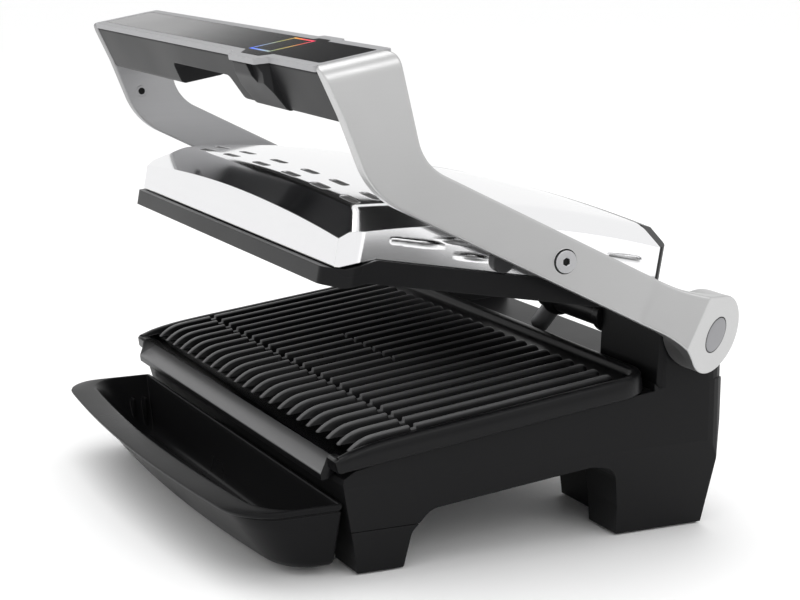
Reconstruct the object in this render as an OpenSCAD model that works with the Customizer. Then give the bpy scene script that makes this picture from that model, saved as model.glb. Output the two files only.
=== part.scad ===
// Electric indoor contact grill: open lid on two side arms, ribbed plates,
// drip tray in front. Millimetres, +Z up, X across, -Y toward the user.
// The origin is on the table, at the middle of the overall length.

/* [Hinge and opening] */
// Height of the main hinge above the table
hinge_z = 112; // [110:0.5:114]
// Slope of the raised arms down to the hinge, in degrees
arm_slope = 26.5; // [25:0.5:28]
// Radius of the round hub at the hinge
hub_r = 21.5; // [20:0.5:22]
// Radius of the hinge pins
pin_r = 6; // [4.5:0.5:7]

/* [Arms] */
// How far each arm's outer face stands out from the side of the base
arm_stand = 27; // [25:0.5:30]
// Thickness of an arm
arm_t = 7.5; // [6.5:0.5:8.5]
// Depth of the straight part of an arm
arm_h = 24; // [21:0.5:26]
// Distance along the arm from the hinge to the lid pivot
pivot_reach = 106; // [103:0.5:109]
// Radius of the lid pivot pins
pivot_r = 4; // [3:0.25:5]

/* [Handle] */
// Depth of the handle from front to back
handle_d = 39; // [36:0.5:42]
// Height of the handle
handle_h = 29; // [27:0.5:32]
// Height of the handle's front top edge above the table
handle_z = 259.5; // [257:0.5:263]
// Clear width of the finger recess under the handle
recess_w = 98; // [80:1:110]
// Depth of the finger recess
recess_h = 13; // [9:0.5:15]

/* [Lid] */
// Step in from the side of the base to the side of the lid cover
lid_inset = 2; // [1:0.5:5]
// Length of the lid from front to back
lid_l = 191; // [186:1:194]
// Backward slope of the open lid, in degrees
lid_slope = 10; // [9:0.5:11]
// Thickness of the sheet of the lid cover
sheet = 1.5; // [1:0.1:2]

/* [Cooking plates] */
// How far the lower plate's rim stands out past the base on each side
plate_over = 4; // [1:0.5:6]
// Length of the lower plate from its lip to its rear rim
plate_l = 187; // [184:1:189]
// Height of the drain lip above the table
lip_z = 55.5; // [54:0.5:57]
// Backward rise of the lower plate, in degrees
plate_slope = 7; // [6:0.5:8]
// Number of ribs on each plate
rib_n = 23; // [15:1:25]
// Distance from the side of the plate to the outermost rib
rib_margin = 10; // [8:0.5:18]
// Height of the ribs
rib_h = 5.5; // [4:0.5:6]
// Width of a rib at its top
rib_top = 4; // [3:0.25:5]

/* [Base] */
// Width of the base housing at its top
base_w = 308; // [300:1:312]
// Inward draw of each side of the base down to the table
base_draft = 9; // [4:1:14]
// Wall of the base around the heating chamber
base_wall = 14; // [10:1:18]
// Depth of the base below the lower plate
base_depth = 32; // [29:0.5:34]
// Width of each hinge post
post_w = 60; // [50:1:70]

/* [Drip tray] */
// Step in from the side of the base to the side of the tray's rim
tray_inset = 1; // [0:0.5:6]
// Height of the tray's rim above the table
tray_z = 41; // [38:0.5:42]
// Wall of the drip tray
tray_wall = 2.5; // [2:0.25:3.5]
// Width of the front flange of the tray
flange_w = 16; // [12:0.5:19]

/* [Hidden] */
$fn = 64;

// Running and seating clearances
fit = 0.3;
pin_fit = 0.08;
// Y values are measured from the plate's drain lip: the tray's nose, the rear wall of the
// base and the reach of the cord gland behind it
tray_nose = -55.5;
// Reach of the hinge behind the lip
hinge_y = plate_l + 24;
base_rear = hinge_y + 23.5;
gland_out = 9;
// The drain lip lies this far in front of the origin, which is mid-length
lip_y = -(tray_nose + base_rear + gland_out) / 2;
// The hinge's inner bosses start this far outside the base
hub_gap = 2;
base_half = base_w / 2;
hub_in = base_half + hub_gap;
arm_out = base_half + arm_stand;
arm_in = arm_out - arm_t;
// The hub flares out past the flat of the arm by this much
hub_flare = 5;
hub_out = arm_out + hub_flare;
// The lid pivot lies on the arm's centre line
pivot_y = hinge_y - pivot_reach * cos(arm_slope);
pivot_z = hinge_z + pivot_reach * sin(arm_slope);
lid_half = base_half - lid_inset;
wall_black = 3;
big = 400;

// --- helpers -------------------------------------------------------------

function unit(v) = v / norm(v);
function xy(p) = [p.x, p.y];
function corner(a, b, c, n) =
    b.z <= 0 ? [xy(b)] :
    let (u = unit(xy(a) - xy(b)), v = unit(xy(c) - xy(b)), h = acos(u * v) / 2,
         o = xy(b) + unit(u + v) * b.z / sin(h),
         s = xy(b) + u * b.z / tan(h) - o, e = xy(b) + v * b.z / tan(h) - o,
         a0 = atan2(s.y, s.x), d0 = atan2(e.y, e.x) - a0,
         d = d0 > 180 ? d0 - 360 : d0 < -180 ? d0 + 360 : d0)
    [for (i = [0:n]) o + b.z * [cos(a0 + d * i / n), sin(a0 + d * i / n)]];
// Outline whose corners are [x, y, radius]
function rounded(p, n = 6) = [
    for (i = [0:len(p) - 1])
        for (q = corner(p[(i + len(p) - 1) % len(p)], p[i], p[(i + 1) % len(p)], n)) q
];

// Extrudes an outline drawn in (y, z) from x0 to x1
module side(x0, x1) {
    translate([x0, 0, 0])
        rotate([90, 0, 90])
            linear_extrude(x1 - x0) children();
}
// Extrudes an outline drawn in (x, z) from y0 to y1
module front(y0, y1) {
    translate([0, y1, 0])
        rotate([90, 0, 0])
            linear_extrude(y1 - y0) children();
}
module both() {
    children();
    mirror([1, 0, 0]) children();
}
// Lies along X from x0 to x1
module bar(x0, x1, r) {
    translate([x0, 0, 0])
        rotate([0, 90, 0])
            cylinder(h = x1 - x0, r = r);
}
module block(x0, x1, y0, y1, z0, z1) {
    translate([x0, y0, z0]) cube([x1 - x0, y1 - y0, z1 - z0]);
}
// Flat slot with round ends along X, cut straight down
module slot(len, w, h) {
    linear_extrude(h) {
        square([len - w, w], center = true);
        for (i = [-1, 1])
            translate([i * (len - w) / 2, 0]) circle(d = w, $fn = 24);
    }
}

// Local frames: drain lip, lower plate, hinge axis, lid pivot, handle top
module at_lip() translate([0, lip_y, 0]) children();
module at_plate() at_lip() translate([0, 0, lip_z]) rotate([plate_slope, 0, 0]) children();
module at_hinge() at_lip() translate([0, hinge_y, hinge_z]) children();
module at_lid() at_lip() translate([0, pivot_y, pivot_z]) rotate([-lid_slope, 0, 0]) children();
handle_y = -12.7;
handle_tilt = 10;
module at_handle() at_lip() translate([0, handle_y, handle_z]) rotate([handle_tilt, 0, 0]) children();

// --- base ------------------------------------------------------------------

stand = 1;
foot_rear = 45;
deck_z = 82;
seat_t = 1.3;
belly_t = seat_t - base_depth;
foot_in = base_half - 36;
leg_in = base_half - 87;
leg_y = hinge_y - 41;
leg_rear = base_rear - 10.5;
post_y = plate_l + 1;
post_in = base_half - post_w;
post_r = 17;
// The hinge pins reach into the posts to this distance from their inner faces
pin_seat = 15;
pin_grip = 9;
bay_l0 = 16;
bay_l1 = plate_l - 15;
bay_x = base_half - base_wall;
runner_x = base_half * 0.4;
runner_w = 20;
runner_z = 17;
runner_t = 3;
runner_l = 62;
channel_in = runner_x - runner_w / 2 - 4;
channel_out = runner_x + runner_w / 2 + 4;
channel_y = 16 + runner_l;

base_side = rounded([
    [8, 50, 3], [18, 8, 4], [19, stand, 1], [foot_rear, stand, 1], [foot_rear + 3, 20, 8],
    [foot_rear + 13, 31.5, 10], [leg_y - 20, 42.3, 14], [leg_y - 5, 40, 10], [leg_y - 1, 18, 6],
    [leg_y, stand, 1], [leg_rear, stand, 1], [base_rear, deck_z + 1, 4], [post_y + 2, deck_z - 1, 2],
    [leg_y, 100, 0], [9, 80, 0]
]);

module base_form() {
    bh = base_half;
    bf = bh - base_draft;
    intersection() {
        side(-big / 2, big / 2) polygon(base_side);
        front(-10, base_rear + 25)
            polygon([[-bf, -1], [bf, -1], [bh, deck_z * 0.6], [bh, 150], [-bh, 150], [-bh, deck_z * 0.6]]);
        linear_extrude(160)
            polygon(rounded([[-bh, 0, 6], [bh, 0, 6], [bh, base_rear + 1, 14], [-bh, base_rear + 1, 14]]));
    }
}

module post() {
    difference() {
        intersection() {
            side(post_in, base_half)
                polygon(rounded([
                    [post_y, 60, 0], [base_rear - 4, 60, 0], [base_rear - 1, deck_z, 4],
                    [hinge_y + post_r, hinge_z - 6, 8], [hinge_y + post_r - 3, hinge_z + post_r - 3, 12],
                    [post_y + 3, hinge_z + post_r - 4, 8]
                ]));
            linear_extrude(160)
                polygon(rounded([
                    [post_in, post_y - 2, 5], [base_half, post_y - 2, 8],
                    [base_half, base_rear, 14], [post_in, base_rear, 5]
                ]));
        }
        translate([0, hinge_y, hinge_z])
            bar(post_in + pin_seat, base_half + 1, pin_r + pin_fit);
    }
}

// Channel under the belly that one of the tray's runners slides in
module channel()
    difference() {
        union() {
            block(channel_in, channel_out, 14, cover_l0 + 1, runner_z - 4, lip_z + 1.5 + belly_t);
            block(channel_in, channel_out, 14, channel_y, runner_z - 4, runner_z + runner_t + 4);
        }
        block(runner_x - runner_w / 2 - fit, runner_x + runner_w / 2 + fit, 0, channel_y - 2,
            runner_z - fit, runner_z + runner_t + fit);
    }

module base_shell() color([0.11, 0.11, 0.12]) {
    at_lip() both() channel();
    difference() {
        union() {
            at_lip() base_form();
            at_lip() both() post();
        }
        // seat of the lower plate
        at_plate() block(-big, big, 20, plate_l + 2, seat_t, seat_t + 90);
        at_plate() side(-big, big)
            polygon([[-30, -4.4], [4, -4.4], [14.5, 0.1], [30, seat_t], [30, 90], [-30, 90]]);
        // heating chamber with a ledge for the reflector, open below for the bottom cover
        at_plate() block(-bay_x, bay_x, bay_l0, bay_l1, seat_t - 24, 60);
        at_plate() block(-bay_x - 4, bay_x + 4, bay_l0 - 4, bay_l1 + 4, seat_t - 4, 60);
        at_plate() block(-cover_x + 6, cover_x - 6, cover_l0 + 6, cover_l1 - 6, belly_t - 1, 60);
        at_plate() block(-cover_x, cover_x, cover_l0, cover_l1, belly_t - 1, belly_t + cover_t);
        // open space under the belly, between the feet and the legs
        at_plate() block(-foot_in, foot_in, -20, leg_y + 4, belly_t - 60, belly_t);
        at_plate() block(-leg_in, leg_in, 0, base_rear + 25, belly_t - 60, belly_t);
        for (p = screw_at)
            at_plate() translate([p.x, p.y, belly_t]) cylinder(h = 9, r = screw_r + pin_fit);
        // cord entry in the rear wall
        at_lip() translate([gland_x, base_rear - 20, gland_z])
            rotate([-90, 0, 0]) cylinder(h = 40, r = gland_r);
        // parting lines of the feet
        at_lip() both() block(base_half - base_draft + 3.6, big, 0, 60, 24, 24.5);
        // pockets of the rubber feet
        for (p = feet_at)
            at_lip() translate([p.x, p.y, -1]) cylinder(h = 1 + foot_t, r = foot_r + 0.15);
    }
}

foot_r = 9;
foot_t = 3;
foot_x = base_half - 23;
leg_x = base_half - 26;
feet_at = [[foot_x, 31.5], [-foot_x, 31.5], [leg_x, leg_y + 38], [-leg_x, leg_y + 38]];
gland_r = 7;
gland_x = 54 - base_half;
gland_z = 40;

module rubber_feet() color([0.06, 0.06, 0.06])
    for (p = feet_at)
        at_lip() translate([p.x, p.y, 0]) cylinder(h = foot_t - fit, r = foot_r);

cover_x = foot_in - 3;
cover_l0 = 20;
cover_l1 = plate_l - 27;
cover_t = 3;
slit_step = 22;

module base_bottom() color([0.09, 0.09, 0.10])
    difference() {
        at_plate() block(-cover_x + fit, cover_x - fit, cover_l0 + fit, cover_l1 - fit,
            belly_t, belly_t + cover_t - fit);
        for (p = screw_at)
            at_plate() translate([p.x, p.y, belly_t - 1]) cylinder(h = 6, r = screw_r + pin_fit);
        // cooling slits
        for (i = [-3:3])
            at_plate() translate([i * slit_step, (cover_l0 + cover_l1) / 2 + 5, belly_t - 1])
                rotate([0, 0, 90]) slot(50, 4, 6);
    }

screw_r = 2;
screw_in = cover_x - 3;
screw_y0 = cover_l0 + 20;
screw_y1 = cover_l1 - 20;
screw_at = [[screw_in, screw_y0], [-screw_in, screw_y0], [screw_in, screw_y1], [-screw_in, screw_y1]];

module base_screws() color([0.62, 0.63, 0.65])
    for (p = screw_at)
        at_plate() translate([p.x, p.y, belly_t - 1.2]) {
            cylinder(h = 1.2 - pin_fit, r = 3);
            cylinder(h = 9, r = screw_r);
        }

module cord_gland() color([0.07, 0.07, 0.07])
    at_lip() translate([gland_x, 0, gland_z]) rotate([-90, 0, 0])
        difference() {
            union() {
                translate([0, 0, base_rear - 19]) cylinder(h = 19 + gland_out, r = gland_r - 1.6);
                translate([0, 0, base_rear - 19]) cylinder(h = 19, r = gland_r - pin_fit);
                for (i = [0:3])
                    translate([0, 0, base_rear + 0.4 + i * 2.2]) cylinder(h = 1.4, r = gland_r);
            }
            translate([0, 0, base_rear - 12]) cylinder(h = 30, r = 3.6);
        }

// --- lower heating ---------------------------------------------------------

pan_t = 0.8;
pan_deep = 17;
tube_r = 3.4;
// Half width of the tube's loop, the radius of its bends and of its two ends
loop_x = bay_x - 35;
bend_r = 30;
tail_r = 14;
pan_top = seat_t - 4 + pan_t + fit;

module pan(x, y0, y1, deep, rim) {
    difference() {
        union() {
            block(-x, x, y0, y1, -deep, 0);
            block(-x - rim, x + rim, y0 - rim, y1 + rim, -pan_t, 0);
        }
        block(-x + pan_t, x - pan_t, y0 + pan_t, y1 - pan_t, -deep + pan_t, 5);
    }
}

module lower_reflector() color([0.70, 0.70, 0.70])
    at_plate() translate([0, 0, pan_top])
        difference() {
            pan(bay_x - 2, bay_l0 + 2, bay_l1 - 2, pan_deep, 4);
            for (i = [-1, 1])
                translate([i * (loop_x - bend_r - tail_r), bay_l1 - 5, element_t - pan_top]) rotate([-90, 0, 0])
                    cylinder(h = 10, r = tube_r + fit);
        }

element_t = -7.5;
module lower_element() color([0.45, 0.44, 0.43])
    at_plate() translate([0, 0, element_t]) hairpin(loop_x, bay_l0 + 24, bay_l1 - 2 * tail_r, bay_l1 - 0.4);

// Heating tube: a loop with round corners whose two ends turn back through the rear wall
module hairpin(half, y0, y1, y2) {
    bend = bend_r;
    tail = tail_r;
    module elbow(x, y, a, r)
        translate([x, y, 0]) rotate([0, 0, a])
            rotate_extrude(angle = 90) translate([r, 0]) circle(r = tube_r, $fn = 24);
    for (i = [-1, 1]) {
        translate([i * half, y0 + bend, 0])
            rotate([-90, 0, 0]) cylinder(h = y1 - y0 - 2 * bend, r = tube_r);
        elbow(i * (half - bend), y0 + bend, i > 0 ? 270 : 180, bend);
        elbow(i * (half - bend), y1 - bend, i > 0 ? 0 : 90, bend);
        elbow(i * (half - bend), y1 + tail, i > 0 ? 180 : 270, tail);
        translate([i * (half - bend - tail), y1 + tail, 0]) rotate([-90, 0, 0])
            cylinder(h = y2 - y1 - tail, r = tube_r);
    }
    translate([0, y0, 0]) bar(-half + bend, half - bend, tube_r);
}

module element_clips() color([0.75, 0.75, 0.74])
    for (i = [-1, 1])
        at_plate() translate([i * loop_x, (bay_l0 + bay_l1) / 2 + 6, 0])
            block(-clip_l, clip_l, -clip_w, clip_w, pan_top - pan_deep + pan_t + fit, element_t - tube_r - fit);
clip_l = 6;
clip_w = 5;

// --- hinge -----------------------------------------------------------------

module hinge_pins() color([0.55, 0.56, 0.58])
    at_hinge() both() bar(post_in + pin_seat + fit, hub_in + pin_grip, pin_r);

module hinge_bushes() color([0.2, 0.2, 0.21])
    at_hinge() both()
        difference() {
            bar(base_half + fit, hub_in - fit, post_r - 4);
            bar(base_half, hub_in, pin_r + pin_fit);
        }

// Duct of the lid's wires, from the right post toward the middle, close under the hinge axis
duct_y = hinge_y - 14;
duct_z = hinge_z - 4;
duct_l = 72;
duct_x = post_in - duct_l;
duct_r = 8;
module wire_duct() color([0.10, 0.10, 0.11])
    at_lip() difference() {
        union() {
            translate([0, duct_y, duct_z]) bar(duct_x, post_in - fit, duct_r);
            translate([0, duct_y, duct_z]) bar(post_in - 6, post_in - fit, duct_r + 2);
            translate([duct_x + sleeve_in, duct_y, duct_z]) sphere(r = duct_r + 2.5);
        }
        translate([duct_x + sleeve_in, duct_y, duct_z]) rotate([0, sleeve_lean, 0])
            translate([0, 0, -30]) cylinder(h = 30, r = sleeve_r + fit);
    }

// Braided sleeve of the wires, from the rear deck up into the duct
sleeve_r = 5.5;
sleeve_lean = 48;
sleeve_in = 12;
sleeve_l = (duct_z - deck_z) / cos(sleeve_lean) - 9;
module wire_sleeve() color([0.35, 0.35, 0.36])
    at_lip() translate([duct_x + sleeve_in, duct_y, duct_z]) rotate([0, sleeve_lean, 0])
        translate([0, 0, -sleeve_l]) cylinder(h = sleeve_l - 3, r = sleeve_r);

// --- arms ------------------------------------------------------------------

along = [cos(arm_slope), -sin(arm_slope)];
up = [sin(arm_slope), cos(arm_slope)];
axis_yz = [hinge_y, hinge_z];
// A point of the arm, by its distance in front of the hinge and above the centre line
function arm_pt(s, v, r) = let (p = axis_yz - along * s + up * v) [p.x, p.y, r];
grip_top = [handle_y, handle_z];
grip_dir = [cos(handle_tilt), sin(handle_tilt)];

module arm_outline() {
    top_f = grip_top - grip_dir * 1.4;
    top_r = grip_top + grip_dir * (handle_d - 1);
    polygon(rounded([
        [top_f.x, top_f.y, 2.5], [-3, 236, 30], arm_pt(216, -arm_h / 2, 42), arm_pt(28, -arm_h / 2, 30),
        arm_pt(10, -hub_r + 2, 0), arm_pt(-2, 0, 0), arm_pt(4, hub_r - 1.5, 0),
        arm_pt(38, arm_h / 2, 40), arm_pt(198, arm_h / 2, 26), [27.5, 259, 8], [top_r.x, top_r.y, 4]
    ], 8));
    translate(axis_yz) circle(r = hub_r);
}

face_turn = 30;
module arm() {
    difference() {
        at_lip()
            intersection() {
                union() {
                    side(arm_in, hub_out) arm_outline();
                    side(hub_in, arm_in + 1) translate(axis_yz) circle(r = post_r - 3);
                    translate([0, pivot_y, pivot_z]) bar(lid_half + 1.2, arm_in + 1, pivot_r + 5);
                }
                // outer face: flat, then flaring out to the crease ahead of the hub
                translate([0, hinge_y, hinge_z]) rotate([-arm_slope, 0, 0])
                    linear_extrude(2 * big, center = true)
                        polygon([
                            [0, -big], [arm_out, -big], [arm_out, -50], [hub_out, -21],
                            [hub_out - 56 * tan(face_turn), 35], [0, 35]
                        ]);
            }
        // shoulder that rolls over into the handle
        at_handle()
            translate([arm_out, -20, 0])
                difference() {
                    translate([-shoulder, 0, -shoulder]) cube([shoulder + 1, 90, shoulder + 1]);
                    translate([-shoulder, -1, -shoulder]) rotate([-90, 0, 0]) cylinder(h = 92, r = shoulder);
                }
        at_hinge() bar(hub_in - 1, hub_in + pin_grip + fit, pin_r + pin_fit);
        at_cap() translate([0, 0, -cap_t - fit]) cylinder(h = 30, r = cap_r + 0.15);
        at_lip() translate([0, pivot_y, pivot_z]) {
            bar(lid_half, arm_out + 1, pivot_r + pin_fit);
            bar(arm_out - 1.5, arm_out + 1, pivot_head + 0.15);
        }
        at_lip() translate([0, grub_at.x, grub_at.y]) bar(arm_in - 1, arm_in + 4, screw_r + pin_fit);
    }
}
shoulder = 7;
cap_r = 9.5;
cap_t = 2;
pivot_head = 5.7;
// Set screw in the inner face of each arm, below the handle
grub_at = [15, 216.5];

// Oblique end face of the hub, with the round cap in its middle
module at_cap()
    at_hinge() translate([hub_out - 21 * tan(face_turn), 0, 0]) rotate([-arm_slope, 0, 0])
        rotate([0, 0, face_turn]) rotate([0, 90, 0]) children();

module arm_right() color([0.80, 0.80, 0.81]) arm();
module arm_left() color([0.80, 0.80, 0.81]) mirror([1, 0, 0]) arm();
module hub_cap() at_cap() translate([0, 0, -cap_t]) cylinder(h = cap_t - 0.4, r = cap_r);
module hub_cap_right() color([0.62, 0.62, 0.63]) hub_cap();
module hub_cap_left() color([0.62, 0.62, 0.63]) mirror([1, 0, 0]) hub_cap();

module pivot_pins() color([0.72, 0.72, 0.73])
    at_lip() both() translate([0, pivot_y, pivot_z])
        difference() {
            union() {
                bar(lid_half - 12, arm_out - 0.5, pivot_r);
                bar(arm_out - 1.5 + fit, arm_out + 1.2, pivot_head);
            }
            bar(arm_out - 1, arm_out + 2, 2.2, $fn = 6);
        }

// --- handle ----------------------------------------------------------------

grip_x = arm_in - 0.2;
lean = 7;
bezel_t = 3;
bump_x0 = 69;
bump_x1 = 112;
bump = 6;
bump_rear = 2.5;

// Section of the grip in the tilted handle frame
function grip_section(g) = rounded([
    [-g, -bezel_t - fit, 1], [handle_d - g, -bezel_t - fit, 2], [handle_d - 5, -handle_h, 5], [lean, -handle_h, 3]
]);

module handle_shell() color([0.22, 0.22, 0.23])
    difference() {
        union() {
            at_handle() side(-grip_x, grip_x) polygon(grip_section(0));
            // control housing, stepping forward of the grip
            at_handle()
                intersection() {
                    side(bump_x0, bump_x1)
                        polygon(rounded([
                            [-bump, -bezel_t - fit, 1], [handle_d, -bezel_t - fit, 1],
                            [handle_d - 4, -handle_h, 3], [lean - 1, -handle_h, 3], [-bump + 1, -10, 6]
                        ]));
                    linear_extrude(200, center = true)
                        polygon([
                            [bump_x0, 20], [bump_x0, 0], [bump_x0 + 8, -bump], [bump_x1 - 6, -bump],
                            [bump_x1, 0], [bump_x1, 20]
                        ]);
                }
        }
        // finger recess through the lower edge
        at_handle()
            front(-20, 60)
                polygon(rounded([
                    [-recess_w / 2, -handle_h - 5, 0], [-recess_w / 2, recess_h - handle_h, 4],
                    [recess_w / 2 - 8, recess_h - handle_h, 6], [recess_w / 2 + 6, -handle_h - 5, 0]
                ]));
        // slanted thumb groove beside the control housing
        at_handle()
            translate([bump_x1 - 14, -bump, -bezel_t - 1]) rotate([0, -26, 0])
                block(-2, 8, -4, 3, -22, 2);
    }

module top_outline(g) {
    polygon(rounded([
        [-grip_x + g, -1 + g, 2], [bump_x0 - 2 + g, -1 + g, 1], [bump_x0 + 6 + g, -bump - 1 + g, 2],
        [bump_x1 - 2 - g, -bump - 1 + g, 2], [bump_x1 + 3 - g, -1 + g, 1], [grip_x - g, -1 + g, 2],
        [grip_x - g, handle_d - g, 2], [bump_x1 + 2 - g, handle_d - g, 1],
        [bump_x1 - g, handle_d + bump_rear - g, 1], [bump_x0 + 18 + g, handle_d + bump_rear - g, 1],
        [bump_x0 + 16 + g, handle_d - g, 1], [-grip_x + g, handle_d - g, 2]
    ]));
}

bezel_rim = 5;
module handle_top() color([0.60, 0.60, 0.61])
    at_handle()
        difference() {
            translate([0, 0, -bezel_t]) linear_extrude(bezel_t) top_outline(0);
            translate([0, 0, -1.6]) linear_extrude(5) top_outline(bezel_rim);
        }

module display_panel() color([0.05, 0.05, 0.06])
    at_handle()
        difference() {
            translate([0, 0, -1.6 + 0.05]) linear_extrude(1.5) top_outline(bezel_rim + 0.25);
            translate([ring_x, ring_y, -0.8]) ring(0.2, 4);
        }

ring_x = 85;
ring_y = 19;
ring_l = 27;
ring_w = 26;
ring_t = 1.5;
module ring(g, h)
    linear_extrude(h)
        difference() {
            square([ring_l + 2 * g, ring_w + 2 * g], center = true);
            square([ring_l - 2 * ring_t - 2 * g, ring_w - 2 * ring_t - 2 * g], center = true);
        }

module indicator_ring() color([0.85, 0.55, 0.25])
    at_handle() translate([ring_x, ring_y, -0.8 + 0.05]) ring(0, 0.7);

module arm_screws() color([0.25, 0.25, 0.26])
    at_lip() both() translate([0, grub_at.x, grub_at.y])
        difference() {
            bar(arm_in + 0.6, arm_in + 4 - fit, screw_r);
            bar(arm_in, arm_in + 2, 1, $fn = 6);
        }

// --- lid -------------------------------------------------------------------

lid_front = -112;
lid_rear_u = lid_front + lid_l;
rim_w = -12.2;
rear_cap = 6;
// The front face stands back from the plate's rim, with a steep cut at each corner
brow_u = lid_front + 4;
nick_x = 4.5;
nick_u = 10.5;
// Front slope, the band along each side, and the top that arches both ways
brow_r = 2500;
brow_w = 1.2;
brow_a = 43.5;
side_w = 12.7;
side_r = 530;
side_a = 22;
side_past = 10;
top_u = lid_front + 129;
top_w = 25.2;
arch_r = 590;
crown_r = 2145;

// Half space under a plane or a wide crown through (u, w), rising at the angle a
module crown(u, w, a, r)
    translate([0, u, w]) rotate([a, 0, 0]) translate([0, 0, -r]) rotate([90, 0, 0])
        cylinder(h = 2 * big, r = r, center = true, $fn = 360);

// Solid under the lid's top: an arc along the lid, carried round a much wider one across it
module arched_top(g)
    translate([0, top_u, top_w - crown_r]) rotate([90, 0, 0]) rotate([0, 0, 90])
        rotate_extrude($fn = 360) translate([crown_r - arch_r, 0]) circle(r = arch_r - g, $fn = 360);

// Solid under the band that leans in above a side: a cone along X, side_r at the lid's side
module side_band(g)
    translate([-lid_half - side_past, top_u, side_w - side_r]) rotate([0, 90, 0])
        cylinder(h = 2 * (lid_half + side_past), r1 = side_r - g + (2 * lid_half + side_past) * tan(side_a),
            r2 = side_r - g - side_past * tan(side_a), $fn = 360);

module lid_form(g) {
    intersection() {
        linear_extrude(120, center = true)
            polygon(rounded([
                [-lid_half + g, brow_u + nick_u, 3], [-lid_half + nick_x, brow_u + g, 2],
                [lid_half - nick_x, brow_u + g, 2], [lid_half - g, brow_u + nick_u, 3],
                [lid_half - g, lid_rear_u - g, 8], [-lid_half + g, lid_rear_u - g, 8]
            ]));
        crown(brow_u, brow_w - g / cos(brow_a), brow_a, brow_r);
        arched_top(g);
        side_band(g);
        mirror([1, 0, 0]) side_band(g);
    }
}
module skirt_line(low) side(-big, big)
    polygon(concat(
        [[-big, -60], [big, -60], [big, low]],
        [[-88, low], [-98, low - 3], [lid_front + 6, low - 6.5], [-big, low - 6.5]]
    ));

module lid_cover() color([0.86, 0.86, 0.87])
    at_lid()
        difference() {
            intersection() {
                lid_form(0);
                block(-big, big, -big, lid_rear_u - rear_cap, -60, 60);
            }
            lid_form(sheet);
            skirt_line(rim_w);
            // vents in the top, two staggered rows
            for (q = [-0.617, -0.361, -0.055, 0.233, 0.497, 0.753])
                translate([q * lid_half, lid_front + vent_u, 0]) slot(vent_l, vent_w, 60);
            for (q = [-0.684, -0.409, -0.089, 0.206, 0.467, 0.731])
                translate([q * lid_half, lid_front + vent_u + vent_step, 0]) slot(vent_l, vent_w, 60);
            translate([relief_q * lid_half, top_u + relief_u, 0]) rotate([0, 0, 90]) slot(relief_l, vent_w, 60);
            // louvres in the sides
            both() {
                for (v = [[-69.5, -2.2, 25], [-45, 1.1, 13], [-35.5, -6.2, 9], [52, 2.1, 20]])
                    translate([lid_half - 4, v.x, v.y]) rotate([90, 0, 90]) slot(v.z, 2, 10);
                bar(lid_half - 4, lid_half + 4, pivot_r + 5.6);
            }
            translate([0, knob_u, knob_w]) bar(lid_half - 4, lid_half + 4, knob_r + fit);
        }

module lid_rear() color([0.10, 0.10, 0.11])
    at_lid()
        intersection() {
            lid_form(0);
            block(-big, big, lid_rear_u - rear_cap + 0.1, big, rim_w, 60);
        }

// Two rows of six vents, the first set back from the front edge
vent_u = 22;
vent_step = 12.5;
vent_l = 15;
vent_w = 3.2;
// The single slot further back, along the lid
relief_q = -0.19;
relief_u = 19;
relief_l = 25;

knob_u = -19.4;
knob_w = -6.3;
knob_r = 5.8;
press = 2.5;

// Dark carrier of the plate and the heater, open below, with the pivot bearings
module lid_frame() color([0.12, 0.12, 0.13])
    at_lid()
        difference() {
            union() {
                block(-frame_x, frame_x, lid_front + 14, lid_rear_u - rear_cap - 0.3, rim_w, rim_w + frame_h);
                both() bar(frame_x - 14, lid_half - sheet - fit, pivot_r + 5);
            }
            block(-frame_x + wall_black, frame_x - wall_black, lid_front + 14 + wall_black,
                lid_rear_u - rear_cap - 0.3 - wall_black, rim_w - 1, rim_w + frame_h - wall_black);
            both() bar(lid_half - 12 - fit, lid_half + 1, pivot_r + pin_fit);
            translate([0, knob_u, knob_w]) bar(frame_x - 14, lid_half, knob_r - 1.5 + pin_fit);
        }
frame_x = lid_half - 8;
frame_h = 12;
hood_x = frame_x - 14;
hood_y0 = lid_front + 20;
hood_y1 = lid_rear_u - 21;
hood_h = 6.5;
loop_gap = 25;

module upper_reflector() color([0.70, 0.70, 0.70])
    at_lid() translate([0, 0, rim_w + frame_h - wall_black - fit])
        difference() {
            block(-hood_x, hood_x, hood_y0, hood_y1, -hood_h, 0);
            block(-hood_x + pan_t, hood_x - pan_t, hood_y0 + pan_t, hood_y1 - pan_t, -hood_h - 1, -pan_t);
        }

module upper_element() color([0.45, 0.44, 0.43])
    at_lid() translate([0, 0, rim_w + frame_h - wall_black - 2 * fit - pan_t - tube_r])
        hairpin(hood_x - loop_gap, hood_y0 + 12, hood_y1 - 2 * tail_r, hood_y1 - 2);

module release_button() color([0.18, 0.18, 0.19])
    at_lid() translate([0, knob_u, knob_w]) {
        bar(lid_half - sheet, lid_half + press + 0.5, knob_r);
        bar(frame_x - 8, lid_half - sheet + 0.1, knob_r - 1.5);
    }

// --- plates ----------------------------------------------------------------

skirt_t = 1.6;
rib_t = 14.1;
floor_t = rib_t - rib_h;
plate_half = base_half + plate_over;
rib_field = 2 * (plate_half - rib_margin);

module rib_bars(y0, y1) {
    for (i = [0:rib_n - 1])
        translate([(i - (rib_n - 1) / 2) * (rib_field - rib_top) / (rib_n - 1), 0, 0])
            front(y0, y1)
                polygon([
                    [-rib_top / 2 - 1.2, -1], [rib_top / 2 + 1.2, -1], [rib_top / 2, rib_h], [-rib_top / 2, rib_h]
                ]);
}

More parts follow.
